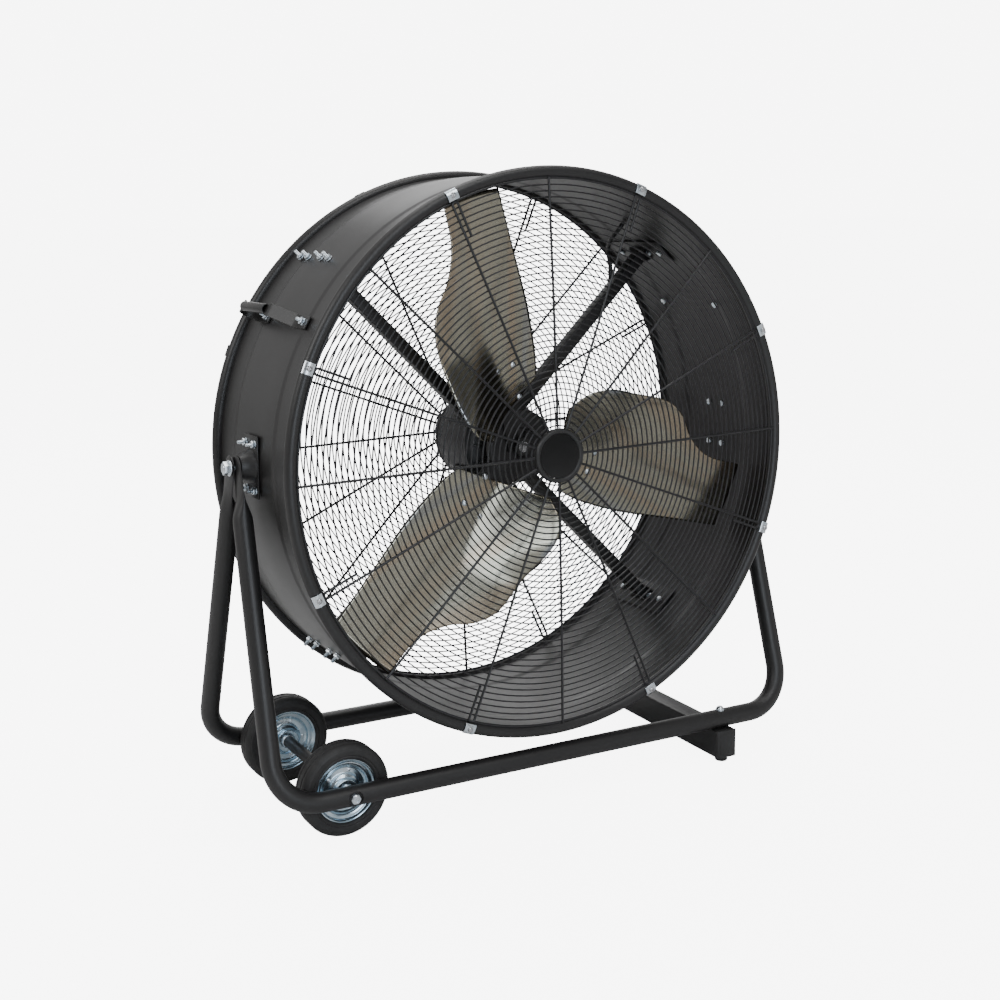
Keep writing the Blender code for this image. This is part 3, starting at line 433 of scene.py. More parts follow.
def turned(name, profile, corner, segments, matrix, body, slot, *nodes, mat=None):
    """A piece turned round one axis, with its profile's corners rounded unless corner is 0."""
    bm = bmesh.new()
    add_turned(bm, rounded(profile, corner) if corner else profile, segments, matrix)
    return solid(name, bm, body, slot, *nodes, mat=mat)


def block(inner, outer, low, high):
    """The profile of a plain ring or disc."""
    return [(inner, low), (outer, low), (outer, high), (inner, high)]


def arc(x, y, radius, start, end, steps):
    """Points (x, y) along part of a circle."""
    angles = [start + (end - start) * k / steps for k in range(steps + 1)]
    return [(x + radius * cos(angle), y + radius * sin(angle)) for angle in angles]


def rounded(profile, radius, steps=3):
    """A closed profile with each corner replaced by a short curve."""
    result = []
    for k, point in enumerate(profile):
        corner = Vector(point)
        before = Vector(profile[k - 1]) - corner
        after = Vector(profile[(k + 1) % len(profile)]) - corner
        on_axis = corner.x < 1e-6
        flat = before.normalized().dot(after.normalized()) < -0.97
        if on_axis or flat:
            result.append(tuple(corner))
            continue
        start = corner + before.normalized() * min(radius, before.length * 0.45)
        end = corner + after.normalized() * min(radius, after.length * 0.45)
        for step in range(steps + 1):
            t = step / steps
            result.append(tuple(start * (1 - t) ** 2 + corner * 2 * t * (1 - t) + end * t * t))
    return result


def add_turned(bm, profile, segments, matrix):
    """A closed profile of (radius, height) points turned round local Z."""
    rings = []
    for radius, height in profile:
        if radius < 1e-6:
            rings.append([bm.verts.new(matrix @ Vector((0.0, 0.0, height)))] * segments)
            continue
        ring = []
        for k in range(segments):
            angle = tau * k / segments
            ring.append(bm.verts.new(matrix @ Vector((radius * cos(angle), radius * sin(angle),
                                                      height))))
        rings.append(ring)
    for one, other in zip(rings, rings[1:] + rings[:1]):
        for k in range(segments):
            corners = list(dict.fromkeys((one[k], one[k - 1], other[k - 1], other[k])))
            if len(corners) > 2:
                bm.faces.new(corners)


def bevelled(bm, made, edges, width, segments=2):
    """Bevels edges of a new solid and returns the vertices it then has."""
    result = bmesh.ops.bevel(bm, geom=edges, offset=width, segments=segments, profile=0.5,
                             affect="EDGES")
    return list({vert for face in result["faces"] for vert in face.verts}
                | {vert for vert in made if vert.is_valid})


def direction_at(path, k):
    """The path's direction at its point k."""
    return (path[min(k + 1, len(path) - 1)] - path[max(k - 1, 0)]).normalized()


def bridge(bm, rows):
    """Skins a sequence of equal loops and closes both ends."""
    for one, other in zip(rows, rows[1:]):
        for j in range(len(one)):
            bm.faces.new((one[j - 1], one[j], other[j], other[j - 1]))
    bm.faces.new(rows[0])
    bm.faces.new(rows[-1])


def add_box(bm, low, high, bevel, segments=2, matrix=Matrix()):
    low, high = Vector(low), Vector(high)
    made = bmesh.ops.create_cube(bm, size=1.0)["verts"]
    size = high - low
    middle = (low + high) / 2
    for vert in made:
        vert.co = Vector(a * b for a, b in zip(vert.co, size)) + middle
    edges = {edge for vert in made for edge in vert.link_edges}
    made = bevelled(bm, made, list(edges), bevel, segments)
    bmesh.ops.transform(bm, matrix=matrix, verts=made)


def add_prism(bm, outline, low, high, matrix, bevel):
    """A flat outline of (x, y) points extruded along local Z."""
    bottom = [bm.verts.new((x, y, low)) for x, y in outline]
    top = [bm.verts.new((x, y, high)) for x, y in outline]
    count = len(outline)
    faces = [bm.faces.new(bottom[::-1]), bm.faces.new(top)]
    for k in range(count):
        faces.append(bm.faces.new((bottom[k - 1], bottom[k], top[k], top[k - 1])))
    made = bottom + top
    rims = [edge for face in faces[:2] for edge in face.edges]
    made = bevelled(bm, made, rims, bevel)
    bmesh.ops.transform(bm, matrix=matrix, verts=made)


def add_hexagon(bm, across, low, high, matrix):
    """A hexagon head or nut with its corners turned off at the top."""
    corner = across / 2 / cos(pi / 6)
    outline = [(corner * cos(tau * k / 6), corner * sin(tau * k / 6)) for k in range(6)]
    add_prism(bm, outline, low, high, matrix, across * 0.05)


def add_thread(bm, radius, low, high, matrix):
    """A threaded rod end: rings of crests and roots with a chamfered tip."""
    depth = 0.0005
    pitch = THREAD_PITCH
    count = max(2, int((high - low) / pitch))
    profile = [(0.0, low), (radius, low)]
    for k in range(count):
        start = low + (high - low) * k / count
        profile += [(radius, start + pitch * 0.3), (radius - depth, start + pitch * 0.7)]
    profile += [(radius - depth, high), (0.0, high)]
    add_turned(bm, profile, 14, matrix)


def add_washer(bm, inner, outer, low, high, matrix):
    add_turned(bm, rounded(block(inner, outer, low, high), 0.0003, 2), 28, matrix)


def add_bolt(bm, matrix, outside, grip):
    """A screw through the drum wall: nut and thread outside, hexagon head inside.

    The matrix puts local z 0 on the outer seat and z outwards.
    """
    size = BOLT_RADIUS
    across = size * 3.4
    add_washer(bm, size * 0.9, size * 2.1, 0.0001, 0.0013, matrix)
    add_hexagon(bm, across, 0.0013, 0.0013 + size * 1.7, matrix)
    add_thread(bm, size, 0.0013, outside, matrix)
    add_hexagon(bm, across, -grip - size * 1.3, -grip, matrix)


def wire(name, routes, radius, closed=False, resolution=1):
    """Round wires through lists of points, as one curve."""
    curve = bpy.data.curves.new(name, "CURVE")
    curve.dimensions = "3D"
    curve.bevel_depth = radius
    curve.bevel_resolution = resolution
    curve.use_fill_caps = True
    for route in routes:
        spline = curve.splines.new("POLY")
        spline.points.add(len(route) - 1)
        for point, place in zip(spline.points, route):
            point.co = (*place, 1.0)
        spline.use_cyclic_u = closed
        spline.use_smooth = True
    obj = bpy.data.objects.new(name, curve)
    bpy.context.scene.collection.objects.link(obj)
    return obj


def smooth_route(points, steps):
    """Points on a Catmull-Rom curve through a route."""
    ends = [2 * points[0] - points[1], *points, 2 * points[-1] - points[-2]]
    route = []
    for a, b, c, d in zip(ends, ends[1:], ends[2:], ends[3:]):
        for k in range(steps):
            t = k / steps
            route.append(0.5 * (2 * b + (c - a) * t + (2 * a - 5 * b + 4 * c - d) * t ** 2
                                + (3 * b - a - 3 * c + d) * t ** 3))
    route.append(points[-1])
    return route


def smoothstep(value):
    value = min(1.0, max(0.0, value))
    return value * value * (3.0 - 2.0 * value)


def in_drum(radius, azimuth, y):
    return DRUM @ Vector((radius * sin(azimuth), y, radius * cos(azimuth)))


# Drum -------------------------------------------------------------------------
def wall_drop(height):
    """How far the wall's end bands lie inside its swaged middle band."""
    start = STEP_PLANE - STEP_HALF_WIDTH
    return STEP_DEPTH * smoothstep((abs(height) - start) / (2 * STEP_HALF_WIDTH))


def wall_heights():
    """Heights along the wall, close together only on its two steps."""
    steps = 10
    upper = [STEP_PLANE + STEP_HALF_WIDTH * (2 * k / steps - 1) for k in range(steps + 1)]
    upper += [0.040, 0.110, 0.135]
    return sorted([-h for h in upper] + [0.0] + upper)


def make_drum_shell():
    """A rolled sheet wall with two swaged steps and a rolled bead at each end."""
    wall_inner = WALL_OUTER - WALL_THICKNESS
    first = -pi / 2 - asin((BEAD_PITCH_RADIUS - WALL_OUTER) / BEAD_RADIUS)
    last = 3 * pi / 2 - asin((BEAD_PITCH_RADIUS - wall_inner) / BEAD_RADIUS)
    bead = arc(BEAD_PITCH_RADIUS, BEAD_PLANE, BEAD_RADIUS, first, last, 22)
    heights = wall_heights()
    inner = [(wall_inner - wall_drop(h), h) for h in reversed(heights)]
    outer = [(WALL_OUTER - wall_drop(h), h) for h in heights]
    rear = [(r, -z) for r, z in reversed(bead)]
    turned("drum_wall", bead + inner + rear + outer, 0.0, 180, FACE, "drum", "black_coat",
           "drum_shell")
    seam = bmesh.new()
    reach = STEP_PLANE - STEP_HALF_WIDTH
    add_box(seam, (-0.0016, -reach, WALL_OUTER - 0.0006), (0.0016, reach, WALL_OUTER + 0.0005),
            0.0004, 2, radial(radians(180.0)))
    solid("drum_seam", seam, "drum", "black_coat")


def dish(radius):
    return DISH_CENTRE - (DISH_CENTRE - DISH_EDGE) * (radius / HOOP_RADIUS) ** 2


def ring_points(radius, y, count):
    return [in_drum(radius, tau * k / count, y) for k in range(count)]


def make_guard(word, side, node):
    """Concentric rings welded behind sixteen spokes, with a rim hoop."""
    rings = []
    for k in range(RING_COUNT):
        radius = RING_FIRST + RING_PITCH * k
        rings.append(ring_points(radius, side * dish(radius), 40 + 3 * k))
    piece(wire(f"{word}_guard_rings", rings, RING_WIRE, closed=True), "drum", "black_coat", node,
          mat=WIRE)
    lift = RING_WIRE + SPOKE_WIRE - 0.0004
    spokes = []
    for k in range(SPOKE_COUNT):
        turn = radial(SPOKE_PHASE + tau * k / SPOKE_COUNT)
        lean = 0.0 if k % 2 else -HOOK_HALF / HOOK_TURN
        route = [(lean * r, r) for r in (0.036, 0.12, 0.21, 0.30, 0.39)]
        route += [(0.0, HOOP_RADIUS + 0.001)] if k % 2 else hook()
        spokes.append([turn @ Vector((x, side * (dish(r) + lift), r)) for x, r in route])
    piece(wire(f"{word}_guard_spokes", spokes, SPOKE_WIRE, resolution=3), "drum", "black_coat",
          mat=WIRE)
    hoop = ring_points(HOOP_RADIUS, side * DISH_EDGE, 160)
    core = ring_points(0.040, side * DISH_CENTRE, 48)
    piece(wire(f"{word}_guard_hoops", [hoop, core], HOOP_WIRE, closed=True, resolution=3), "drum",
          "black_coat", mat=WIRE)


def hook():
    """The outer end of a spoke at a clip: it turns round the clip's screw and comes back."""
    return arc(0.0, HOOK_TURN, HOOK_HALF, pi, 0.0, 8) + [(HOOK_HALF, HOOK_END)]


def clip_section():
    """Side view of a clip as (radius, distance): a flat leaf that turns over the bead."""
    inside = BEAD_RADIUS + 0.0004
    section = [(0.4540, BEAD_PLANE + inside - 0.0010), (0.4555, BEAD_PLANE + inside)]
    section += arc(BEAD_PITCH_RADIUS, BEAD_PLANE, inside, pi / 2, CLIP_END_ANGLE, 8)
    return [Vector(point) for point in section]


def add_strap(bm, section, thickness, half_width, place, side):
    """A strap of one thickness along a side view, closed at both ends."""
    loops = []
    for k, point in enumerate(section):
        along = direction_at(section, k)
        far = point + Vector((-along.y, along.x)) * thickness
        corners = ((-half_width, point), (half_width, point), (half_width, far), (-half_width, far))
        loops.append([bm.verts.new(place @ Vector((x, -side * spot.y, spot.x)))
                      for x, spot in corners])
    bridge(bm, loops)


def make_clips(word, side):
    """Pressed clips over the bead, each with a screw that has a socket. The rear clips and their
    screws take the black coat as painted shade.
    """
    face = BEAD_PLANE + BEAD_RADIUS + 0.0004 + CLIP_SHEET
    # painted shade: the rear clips are zinc like the front ones, given the black coat because they
    # lie in shadow
    slot, mat = ("zinc", ZINC) if side > 0 else ("black_coat", COAT)
    for k in range(CLIP_COUNT):
        place = radial(SPOKE_PHASE + tau * k / CLIP_COUNT)
        bm = bmesh.new()
        add_strap(bm, clip_section(), CLIP_SHEET, CLIP_HALF_WIDTH, place, side)
        clip = object_from(f"{word}_clip_{k + 1}", bm)
        soften(clip, 0.0005)
        nodes = [f"grille_clip_{k + 1}"] if side > 0 else []
        piece(clip, "drum", slot, *nodes, mat=mat)
        screw = place @ shift(0.0, -side * face, 0.4618) @ spin(side * pi / 2, "X")
        head = bmesh.new()
        add_turned(head, rounded([(0.0, 0.0010), (0.0018, 0.0012), (0.0020, 0.0030),
                                  (0.0030, 0.0028), (0.0043, 0.0017), (0.0045, 0.0004),
                                  (0.0, 0.0004)], 0.0002, 2), 24, screw)
        head = object_from(f"{word}_clip_{k + 1}_screw", head)
        # painted shade: the rear screws get the black coat for the same reason
        piece(head, "drum", slot, mat=STEEL if side > 0 else COAT)


def carve(obj, cutter_bm):
    """Cuts a shape from a piece and keeps the result in its mesh."""
    cutter = object_from("cutter", cutter_bm)
    modifier = obj.modifiers.new("cut", "BOOLEAN")
    modifier.operation = "DIFFERENCE"
    modifier.object = cutter
    modifier.solver = "EXACT"
    bake(obj)
    bpy.data.objects.remove(cutter, do_unlink=True)


def bake(obj):
    """Replaces a piece's mesh by its modified one."""
    bpy.context.view_layer.update()
    evaluated = obj.evaluated_get(bpy.context.evaluated_depsgraph_get())
    mesh = bpy.data.meshes.new_from_object(evaluated)
    obj.modifiers.clear()
    obj.data = mesh
    mesh.shade_smooth()
    mesh.set_sharp_from_angle(angle=SHARP)


def soften(obj, width):
    """Rounds a piece's sharp edges."""
    bevel = obj.modifiers.new("soft edges", "BEVEL")
    bevel.width = width
    bevel.segments = 2
    bevel.limit_method = "ANGLE"
    bevel.angle_limit = SHARP
    bevel.harden_normals = True


def make_badge():
    """A blank round badge: satin bezel round a gloss face, on a back plate."""
    back = DISH_CENTRE + 0.0012
    lip = BADGE_LIP
    bezel = [(lip, BADGE_FACE - 0.0016), (lip + 0.0016, BADGE_FACE),
             (BADGE_RADIUS - 0.002, BADGE_FACE), (BADGE_RADIUS, BADGE_FACE - 0.003),
             (BADGE_RADIUS, back), (lip, back)]
    turned("badge_bezel", bezel, 0.0008, 96, FACE, "drum", "black_plastic", "badge")
    face = [(0.0, BADGE_FACE - 0.0012), (lip * 0.5, BADGE_FACE - 0.0013),
            (lip - 0.0003, BADGE_FACE - 0.0018), (lip - 0.0003, back), (0.0, back)]
    turned("badge_face", face, 0.0, 96, FACE, "drum", "black_plastic", mat=GLOSS)


# Handles ----------------------------------------------------------------------
def handle_path():
    """Side view of the strap as (y, height): foot, ramp, grip, round end, foot."""
    seat = SEAT_OUTSIDE + HANDLE_THICKNESS / 2
    turn_radius = (GRIP_HEIGHT - seat) / 2
    path = [(-0.095, seat), (-0.060, seat), (-0.055, seat + 0.0006), (-0.049, seat + 0.003),
            (-0.013, GRIP_HEIGHT - 0.003), (-0.009, GRIP_HEIGHT - 0.0008), (-0.004, GRIP_HEIGHT)]
    path += arc(HANDLE_TURN_Y, seat + turn_radius, turn_radius, pi / 2, -pi / 2, 16)
    path.append((0.062, seat))
    return [Vector(point) for point in path]


def strap_width(point):
    """The strap is wide at its feet and narrow where it runs through the grip."""
    if point.y < GRIP_HEIGHT - 0.002:
        return HANDLE_WIDTH
    inside = smoothstep((point.x + 0.003) / 0.005) * smoothstep((0.104 - point.x) / 0.005)
    return HANDLE_WIDTH - (HANDLE_WIDTH - CORE_WIDTH) * inside


def make_handle(side, azimuth, direction):
    """A steel strap with flat bolted feet and a ramp, and a tube round its straight run."""
    bm = bmesh.new()
    rows = []
    path = refined(handle_path(), 0.002)
    for k, point in enumerate(path):
        along = direction_at(path, k)
        normal = Vector((-along.y, along.x)) * HANDLE_THICKNESS / 2
        half = strap_width(point) / 2
        row = []
        for x, place in ((-half, point + normal), (half, point + normal),
                         (half, point - normal), (-half, point - normal)):
            row.append(bm.verts.new((x, direction * place.x, place.y)))
        rows.append(row)
    bridge(bm, rows)
    bmesh.ops.transform(bm, matrix=radial(azimuth), verts=bm.verts)
    strap = object_from(f"handle_{side}_strap", bm, angle=radians(50))
    soften(strap, 0.0005)
    piece(strap, "drum", "black_coat", f"handle_{side}")
    profile = rounded(block(GRIP_INNER, GRIP_RADIUS, *GRIP_ENDS), 0.0005, 2)
    middle = radial(azimuth) @ shift(0.0, 0.0, GRIP_HEIGHT) @ spin(-direction * pi / 2, "X")
    turned(f"handle_{side}_grip", profile, 0.0, 48, middle, "drum", "black_coat")
    bolts = bmesh.new()
    for y in (-HANDLE_BOLT_Y, HANDLE_BOLT_Y):
        add_bolt(bolts, radial(azimuth) @ shift(0.0, direction * y,
                                                SEAT_OUTSIDE + HANDLE_THICKNESS),
                 outside=0.013, grip=0.0078)
    solid(f"handle_{side}_bolts", bolts, "drum", "zinc")


def refined(path, step):
    """The path with extra points on its long runs."""
    result = []
    for one, other in zip(path, path[1:]):
        count = max(1, int((other - one).length / step))
        result += [one.lerp(other, k / count) for k in range(count)]
    return result + [path[-1]]


# Motor ------------------------------------------------------------------------
def make_motor():
    casing = block(MOTOR_RADIUS - 0.005, MOTOR_RADIUS, -MOTOR_REAR + BELL_DEPTH,
                   -MOTOR_FRONT - BELL_DEPTH)
    turned("motor_body", casing, 0.0012, 96, FACE, "drum", "motor_paint", "motor_casing")
    make_bell("front", -MOTOR_FRONT, -1.0)
    make_bell("rear", -MOTOR_REAR, 1.0)


def make_bell(word, face, inward):
    """A cast end bell with a raised bearing boss, ribs and four through bolts."""
    open_centre = 0.012 if word == "front" else 0.0
    profile = [(open_centre, 0.0), (0.019, 0.0), (0.021, 0.004), (0.054, 0.0055), (0.068, 0.0085),
               (MOTOR_RADIUS + 0.0004, 0.0150), (MOTOR_RADIUS + 0.0004, BELL_DEPTH - 0.0004),
               (0.069, BELL_DEPTH - 0.0004), (0.069, 0.0145), (open_centre, 0.0090)]
    bm = bmesh.new()
    add_turned(bm, rounded([(r, face + inward * z) for r, z in profile], 0.0012), 96, FACE)
    for k in range(BELL_RIBS):
        turn = spin(tau * k / BELL_RIBS)
        low, high = sorted((face + inward * 0.0025, face + inward * 0.0095))
        add_box(bm, (0.020, -0.0014, low), (0.064, 0.0014, high), 0.0007, 2, FACE @ turn)
    solid(f"motor_{word}_end", bm, "drum", "motor_paint", f"motor_{word}_bell")
    bolts = bmesh.new()
    for k in range(4):
        turn = spin(tau * (k + 0.5) / 4 + tau / 24)
        flip = spin(pi if inward > 0 else 0.0, "X")
        place = FACE @ turn @ shift(BELL_BOLT_CIRCLE, 0.0, face + inward * 0.0075) @ flip
        add_washer(bolts, 0.0025, 0.0048, 0.0, 0.001, place)
        add_hexagon(bolts, 0.0075, 0.001, 0.0045, place)
    solid(f"motor_{word}_bolts", bolts, "drum", "zinc")


def make_arm(number, azimuth):
    """A square tube from the motor to a bolted foot with folded sides."""
    foot_inner = SEAT_INSIDE - 0.003
    half = ARM_WIDTH / 2
    front = ARM_MIDDLE - ARM_DEPTH / 2
    rear = ARM_MIDDLE + ARM_DEPTH / 2
    place = radial(azimuth)
    bm = bmesh.new()
    add_box(bm, (-half, front, MOTOR_RADIUS - 0.001), (half, rear, foot_inner + 0.001), 0.0022, 3,
            place)
    add_box(bm, (-ARM_FOOT_WIDTH / 2, ARM_FOOT_FRONT, foot_inner),
            (ARM_FOOT_WIDTH / 2, ARM_FOOT_REAR, SEAT_INSIDE), 0.0012, 2, place)
    for x in (-1, 1):
        outline = [(front - 0.016, foot_inner + 0.001), (front, foot_inner - 0.014),
                   (rear, foot_inner - 0.014), (rear + 0.016, foot_inner + 0.001)]
        # local (x, y) of the prism become (y, z) of the arm
        turn = Matrix(((0, 0, 1, 0), (1, 0, 0, 0), (0, 1, 0, 0), (0, 0, 0, 1)))
        low, high = sorted((x * (half - 0.0005), x * (half + 0.0025)))
        add_prism(bm, outline, low, high, place @ turn, 0.0006)
    add_box(bm, (-half - 0.006, front - 0.004, MOTOR_RADIUS - 0.002),
            (half + 0.006, rear + 0.004, MOTOR_RADIUS + 0.006), 0.0018, 2, place)
    solid(f"motor_arm_{number}_bar", bm, "drum", "black_coat", f"motor_arm_{number}")
    bolts = bmesh.new()
    for y in ARM_BOLT_PLACES:
        add_bolt(bolts, place @ shift(0.0, y, SEAT_OUTSIDE), 0.0165, SEAT_OUTSIDE - foot_inner)
    solid(f"motor_arm_{number}_bolts", bolts, "drum", "zinc")


# Rotor ------------------------------------------------------------------------
def along_edge(edge, t):
    route = smooth_route([Vector(point) for point in edge], 8)
    place = t * (len(route) - 1)
    k = min(int(place), len(route) - 2)
    return route[k].lerp(route[k + 1], place - k)


def blade_y(x, z):
    """The sheet's middle: a pitched flat panel that turns forwards beyond its crease."""
    beyond = z * sin(CREASE_AZIMUTH) - x * cos(CREASE_AZIMUTH)
    turned_part = 0.5 * (beyond + sqrt(beyond * beyond + CREASE_SOFTNESS ** 2))
    root = smoothstep((ROOT_SLOPE_START - hypot(x, z)) / ROOT_SLOPE_LENGTH)
    return PANEL_Y + PANEL_SLOPE * x - (CREASE_SLOPE + ROOT_SLOPE * root) * turned_part


def make_blade(number, azimuth):
    """A blade's sheet between its two edges, with its rivets' heads on both faces."""
    rows = 64
    columns = 40
    bm = bmesh.new()
    grid = []
    for i in range(rows + 1):
        t = i / rows
        front = along_edge(FRONT_EDGE, t)
        rear = along_edge(REAR_EDGE, t)
        row = []
        for j in range(columns + 1):
            point = front.lerp(rear, j / columns)
            reach = front.length + (rear.length - front.length) * j / columns
            x, z = point.lerp(point.normalized() * reach, t * t)
            row.append(bm.verts.new((x, blade_y(x, z), z)))
        grid.append(row)
    for low, high in zip(grid, grid[1:]):
        for j in range(columns):
            bm.faces.new((low[j], low[j + 1], high[j + 1], high[j]))
    blade = object_from(f"blade_{number}_sheet", bm, radial(azimuth))
    sheet = blade.modifiers.new("sheet thickness", "SOLIDIFY")
    sheet.thickness = BLADE_THICKNESS
    sheet.offset = 0.0
    piece(blade, "rotor", "blade_aluminium", f"blade_{number}")
    rivets = bmesh.new()
    pitch = spin(atan(PANEL_SLOPE), "Y")
    for along in RIVET_ROWS:
        for across in (-RIVET_OFFSET, RIVET_OFFSET):
            spot = spin(-TONGUE_AZIMUTH) @ Vector((across, along, 0.0))
            for side in (1, -1):
                depth = BLADE_THICKNESS / 2 if side > 0 else -0.0015 - TONGUE_THICKNESS
                place = (radial(azimuth) @ FORWARD @ shift(0.0, 0.0, -PANEL_Y) @ pitch
                         @ shift(spot.x, spot.y, depth)
                         @ spin(0.0 if side > 0 else pi, "X"))
                add_turned(rivets, [(0.0, -0.0004), (0.0058, -0.0004), (0.0054, 0.0010),
                                    (0.0040, 0.0022), (0.0020, 0.0029), (0.0, 0.0031)], 24, place)
    solid(f"blade_{number}_rivets", rivets, "rotor", "zinc")


def make_hub():
    """Cast hub: boss, front disc with a rim, and a pressed tongue behind each blade."""
    bm = bmesh.new()
    disc = [(0.0, -HUB_FRONT - 0.003), (0.030, -HUB_FRONT - 0.003), (0.033, -HUB_FRONT - 0.0005),
            (HUB_DISC_RADIUS - 0.004, -HUB_FRONT - 0.0015), (HUB_DISC_RADIUS, -HUB_FRONT - 0.004),
            (HUB_DISC_RADIUS, -HUB_DISC_REAR), (HUB_RADIUS + 0.004, -HUB_DISC_REAR + 0.001),
            (HUB_RADIUS, -HUB_DISC_REAR - 0.004), (HUB_RADIUS, -HUB_REAR), (0.0, -HUB_REAR)]
    add_turned(bm, rounded(disc, 0.0015), 72, FACE)
    half = TONGUE_WIDTH / 2
    for azimuth in BLADE_AZIMUTHS:
        outline = [(-half, 0.0), *arc(0.0, TONGUE_LENGTH - half, half, pi, 0.0, 16), (half, 0.0)]
        pitch = atan(PANEL_SLOPE)
        behind = (BLADE_THICKNESS / 2 + 0.0003 + TONGUE_THICKNESS / 2) / cos(pitch)
        place = (radial(azimuth) @ FORWARD @ shift(0.0, 0.0, -PANEL_Y - behind)
                 @ spin(pitch, "Y") @ spin(-TONGUE_AZIMUTH))
        add_prism(bm, outline[::-1], -TONGUE_THICKNESS / 2, TONGUE_THICKNESS / 2, place, 0.0008)
    solid("fan_hub", bm, "rotor", "black_coat", "hub_spider")
    nut = bmesh.new()
    add_hexagon(nut, 0.030, 0.0, 0.0052, FACE @ shift(0.0, 0.0, -HUB_FRONT + 0.0003))
    solid("shaft_nut", nut, "rotor", "black_coat", "hub_nut")
    front = -frame_y("motor_shaft")
    shaft = [(0.0, front), (SHAFT_RADIUS - 0.0012, front), (SHAFT_RADIUS, front - 0.0012),
             (SHAFT_RADIUS, -SHAFT_REAR), (0.0, -SHAFT_REAR)]
    turned("fan_shaft", shaft, 0.0, 40, FACE, "rotor", "bright_steel", "motor_shaft")


def frame_y(node):
    """The front end of a node on the drum's axis, in the drum's frame."""
    low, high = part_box(node)
    middle = Vector((0.0, low[1], (low[2] + high[2]) / 2))
    return (DRUM.inverted() @ middle).y + 0.0002


# Pivots -----------------------------------------------------------------------
def make_pivot(side, azimuth):
    """A pressed bracket with its dished boss, four screws and the tilt bolt."""
    place = radial(azimuth)
    plate_top = SEAT_OUTSIDE + BRACKET_THICKNESS
    bm = bmesh.new()
    add_box(bm, (-BRACKET_HEIGHT / 2, -BRACKET_WIDTH / 2, SEAT_OUTSIDE),
            (BRACKET_HEIGHT / 2, BRACKET_WIDTH / 2, plate_top), 0.0011, 2, place)
    boss = [(0.0065, SEAT_OUTSIDE + 0.001), (BOSS_RADIUS + 0.0075, SEAT_OUTSIDE + 0.001),
            (BOSS_RADIUS + 0.0065, plate_top + 0.002), (BOSS_RADIUS + 0.003, plate_top + 0.008),
            (BOSS_RADIUS, BOSS_FACE - 0.006), (BOSS_RADIUS - 0.001, BOSS_FACE),
            (0.0065, BOSS_FACE)]
    add_turned(bm, rounded(boss, 0.0016), 64, place)
    solid(f"pivot_bracket_{side}_cup", bm, "drum", "black_coat", f"pivot_bracket_{side}")
    screws = bmesh.new()
    for x in (-BRACKET_SCREW_X, BRACKET_SCREW_X):
        for y in (-BRACKET_SCREW_Y, BRACKET_SCREW_Y):
            add_bolt(screws, place @ shift(x, y, plate_top), outside=0.015, grip=0.0062)
    solid(f"pivot_bracket_{side}_bolts", screws, "drum", "zinc")
    tilt = shift(0.0, 0.0, PIVOT_HEIGHT) @ spin(azimuth, "Y")
    bolt = bmesh.new()
    add_washer(bolt, 0.0055, 0.0130, PIVOT_HEAD_START, PIVOT_HEAD_START + 0.0022, tilt)
    add_hexagon(bolt, 0.0190, PIVOT_HEAD_START + 0.0022, PIVOT_HEAD_END - 0.0012, tilt)
    add_turned(bolt, rounded([(0.0, PIVOT_HEAD_END - 0.0014), (0.0075, PIVOT_HEAD_END - 0.0014),
                              (0.0060, PIVOT_HEAD_END), (0.0, PIVOT_HEAD_END)], 0.0006), 32, tilt)
    add_turned(bolt, block(0.0, 0.006, SEAT_OUTSIDE + 0.002, PIVOT_HEAD_START + 0.001), 28, tilt)
    solid(f"tilt_bolt_{side}", bolt, "stand", "zinc", f"pivot_bolt_{side}")


# Stand ------------------------------------------------------------------------
def leg_top(side, end):
    return Vector((side * LEG_TOP_X, end * LEG_TOP_Y, PIVOT_HEIGHT))


def base_corner(side, end):
    return Vector((side * CORNER_X, end * BASE_Y, BASE_HEIGHT))


def bend_points(corner, before, after):
    """Points round the tube's bend at a corner between two others."""
    a = (before - corner).normalized()
    b = (after - corner).normalized()
    half = a.angle(b) / 2
    centre = corner + (a + b).normalized() * BEND_RADIUS / sin(half)
    first = corner + a * BEND_RADIUS / tan(half) - centre
    last = corner + b * BEND_RADIUS / tan(half) - centre
    sweep = first.angle(last)
    steps = 20
    points = []
    for k in range(steps + 1):
        t = k / steps
        points.append(centre + first * (sin((1 - t) * sweep) / sin(sweep))
                      + last * (sin(t * sweep) / sin(sweep)))
    return points


def flatten_leg_end(bm, side, end):
    """Presses the tube's end into a flat round-topped tab across the pivot bolt."""
    top = leg_top(side, end)
    down = (base_corner(side, end) - top).normalized()
    tab_middle = FRONT_TAB_MIDDLE if end < 0 else REAR_TAB_MIDDLE
    across = Vector((1.0, 0.0, 0.0)).cross(down).normalized()
    outward = down.cross(across).normalized()
    for vertex in bm.verts:
        offset = vertex.co - top
        along = offset.dot(down)
        if side * vertex.co.x < 0 or along > TAB_BLEND_LENGTH:
            continue
        pressed = 1 - smoothstep((along - TAB_FLAT_LENGTH) / (TAB_BLEND_LENGTH - TAB_FLAT_LENGTH))
        thin = offset.dot(outward) * (1 + (TAB_THICKNESS / 2 / TUBE_RADIUS - 1) * pressed)
        wide = offset.dot(across) * (1 + (TAB_HALF_WIDTH / TUBE_RADIUS - 1) * pressed)
        if along < 0:
            wide *= sqrt(max(0.0, 1 - (along / TAB_HALF_WIDTH) ** 2))
        tab_shift = (side * tab_middle - (top + down * along).x) * pressed
        vertex.co = top + down * along + outward * thin + across * wide
        vertex.co.x += tab_shift


def tube_mesh(points, radius, segments):
    """A closed tube swept through points, its section turned as little as possible."""
    bm = bmesh.new()
    rings = []
    normal = Vector((0.0, 1.0, 0.0))
    for k, point in enumerate(points):
        along = direction_at(points, k)
        normal = (normal - along * normal.dot(along)).normalized()
        side = along.cross(normal)
        ring = []
        for j in range(segments):
            angle = tau * j / segments
            ring.append(bm.verts.new(point + normal * radius * cos(angle)
                                     + side * radius * sin(angle)))
        rings.append(ring)
    bridge(bm, rings)
    return bm


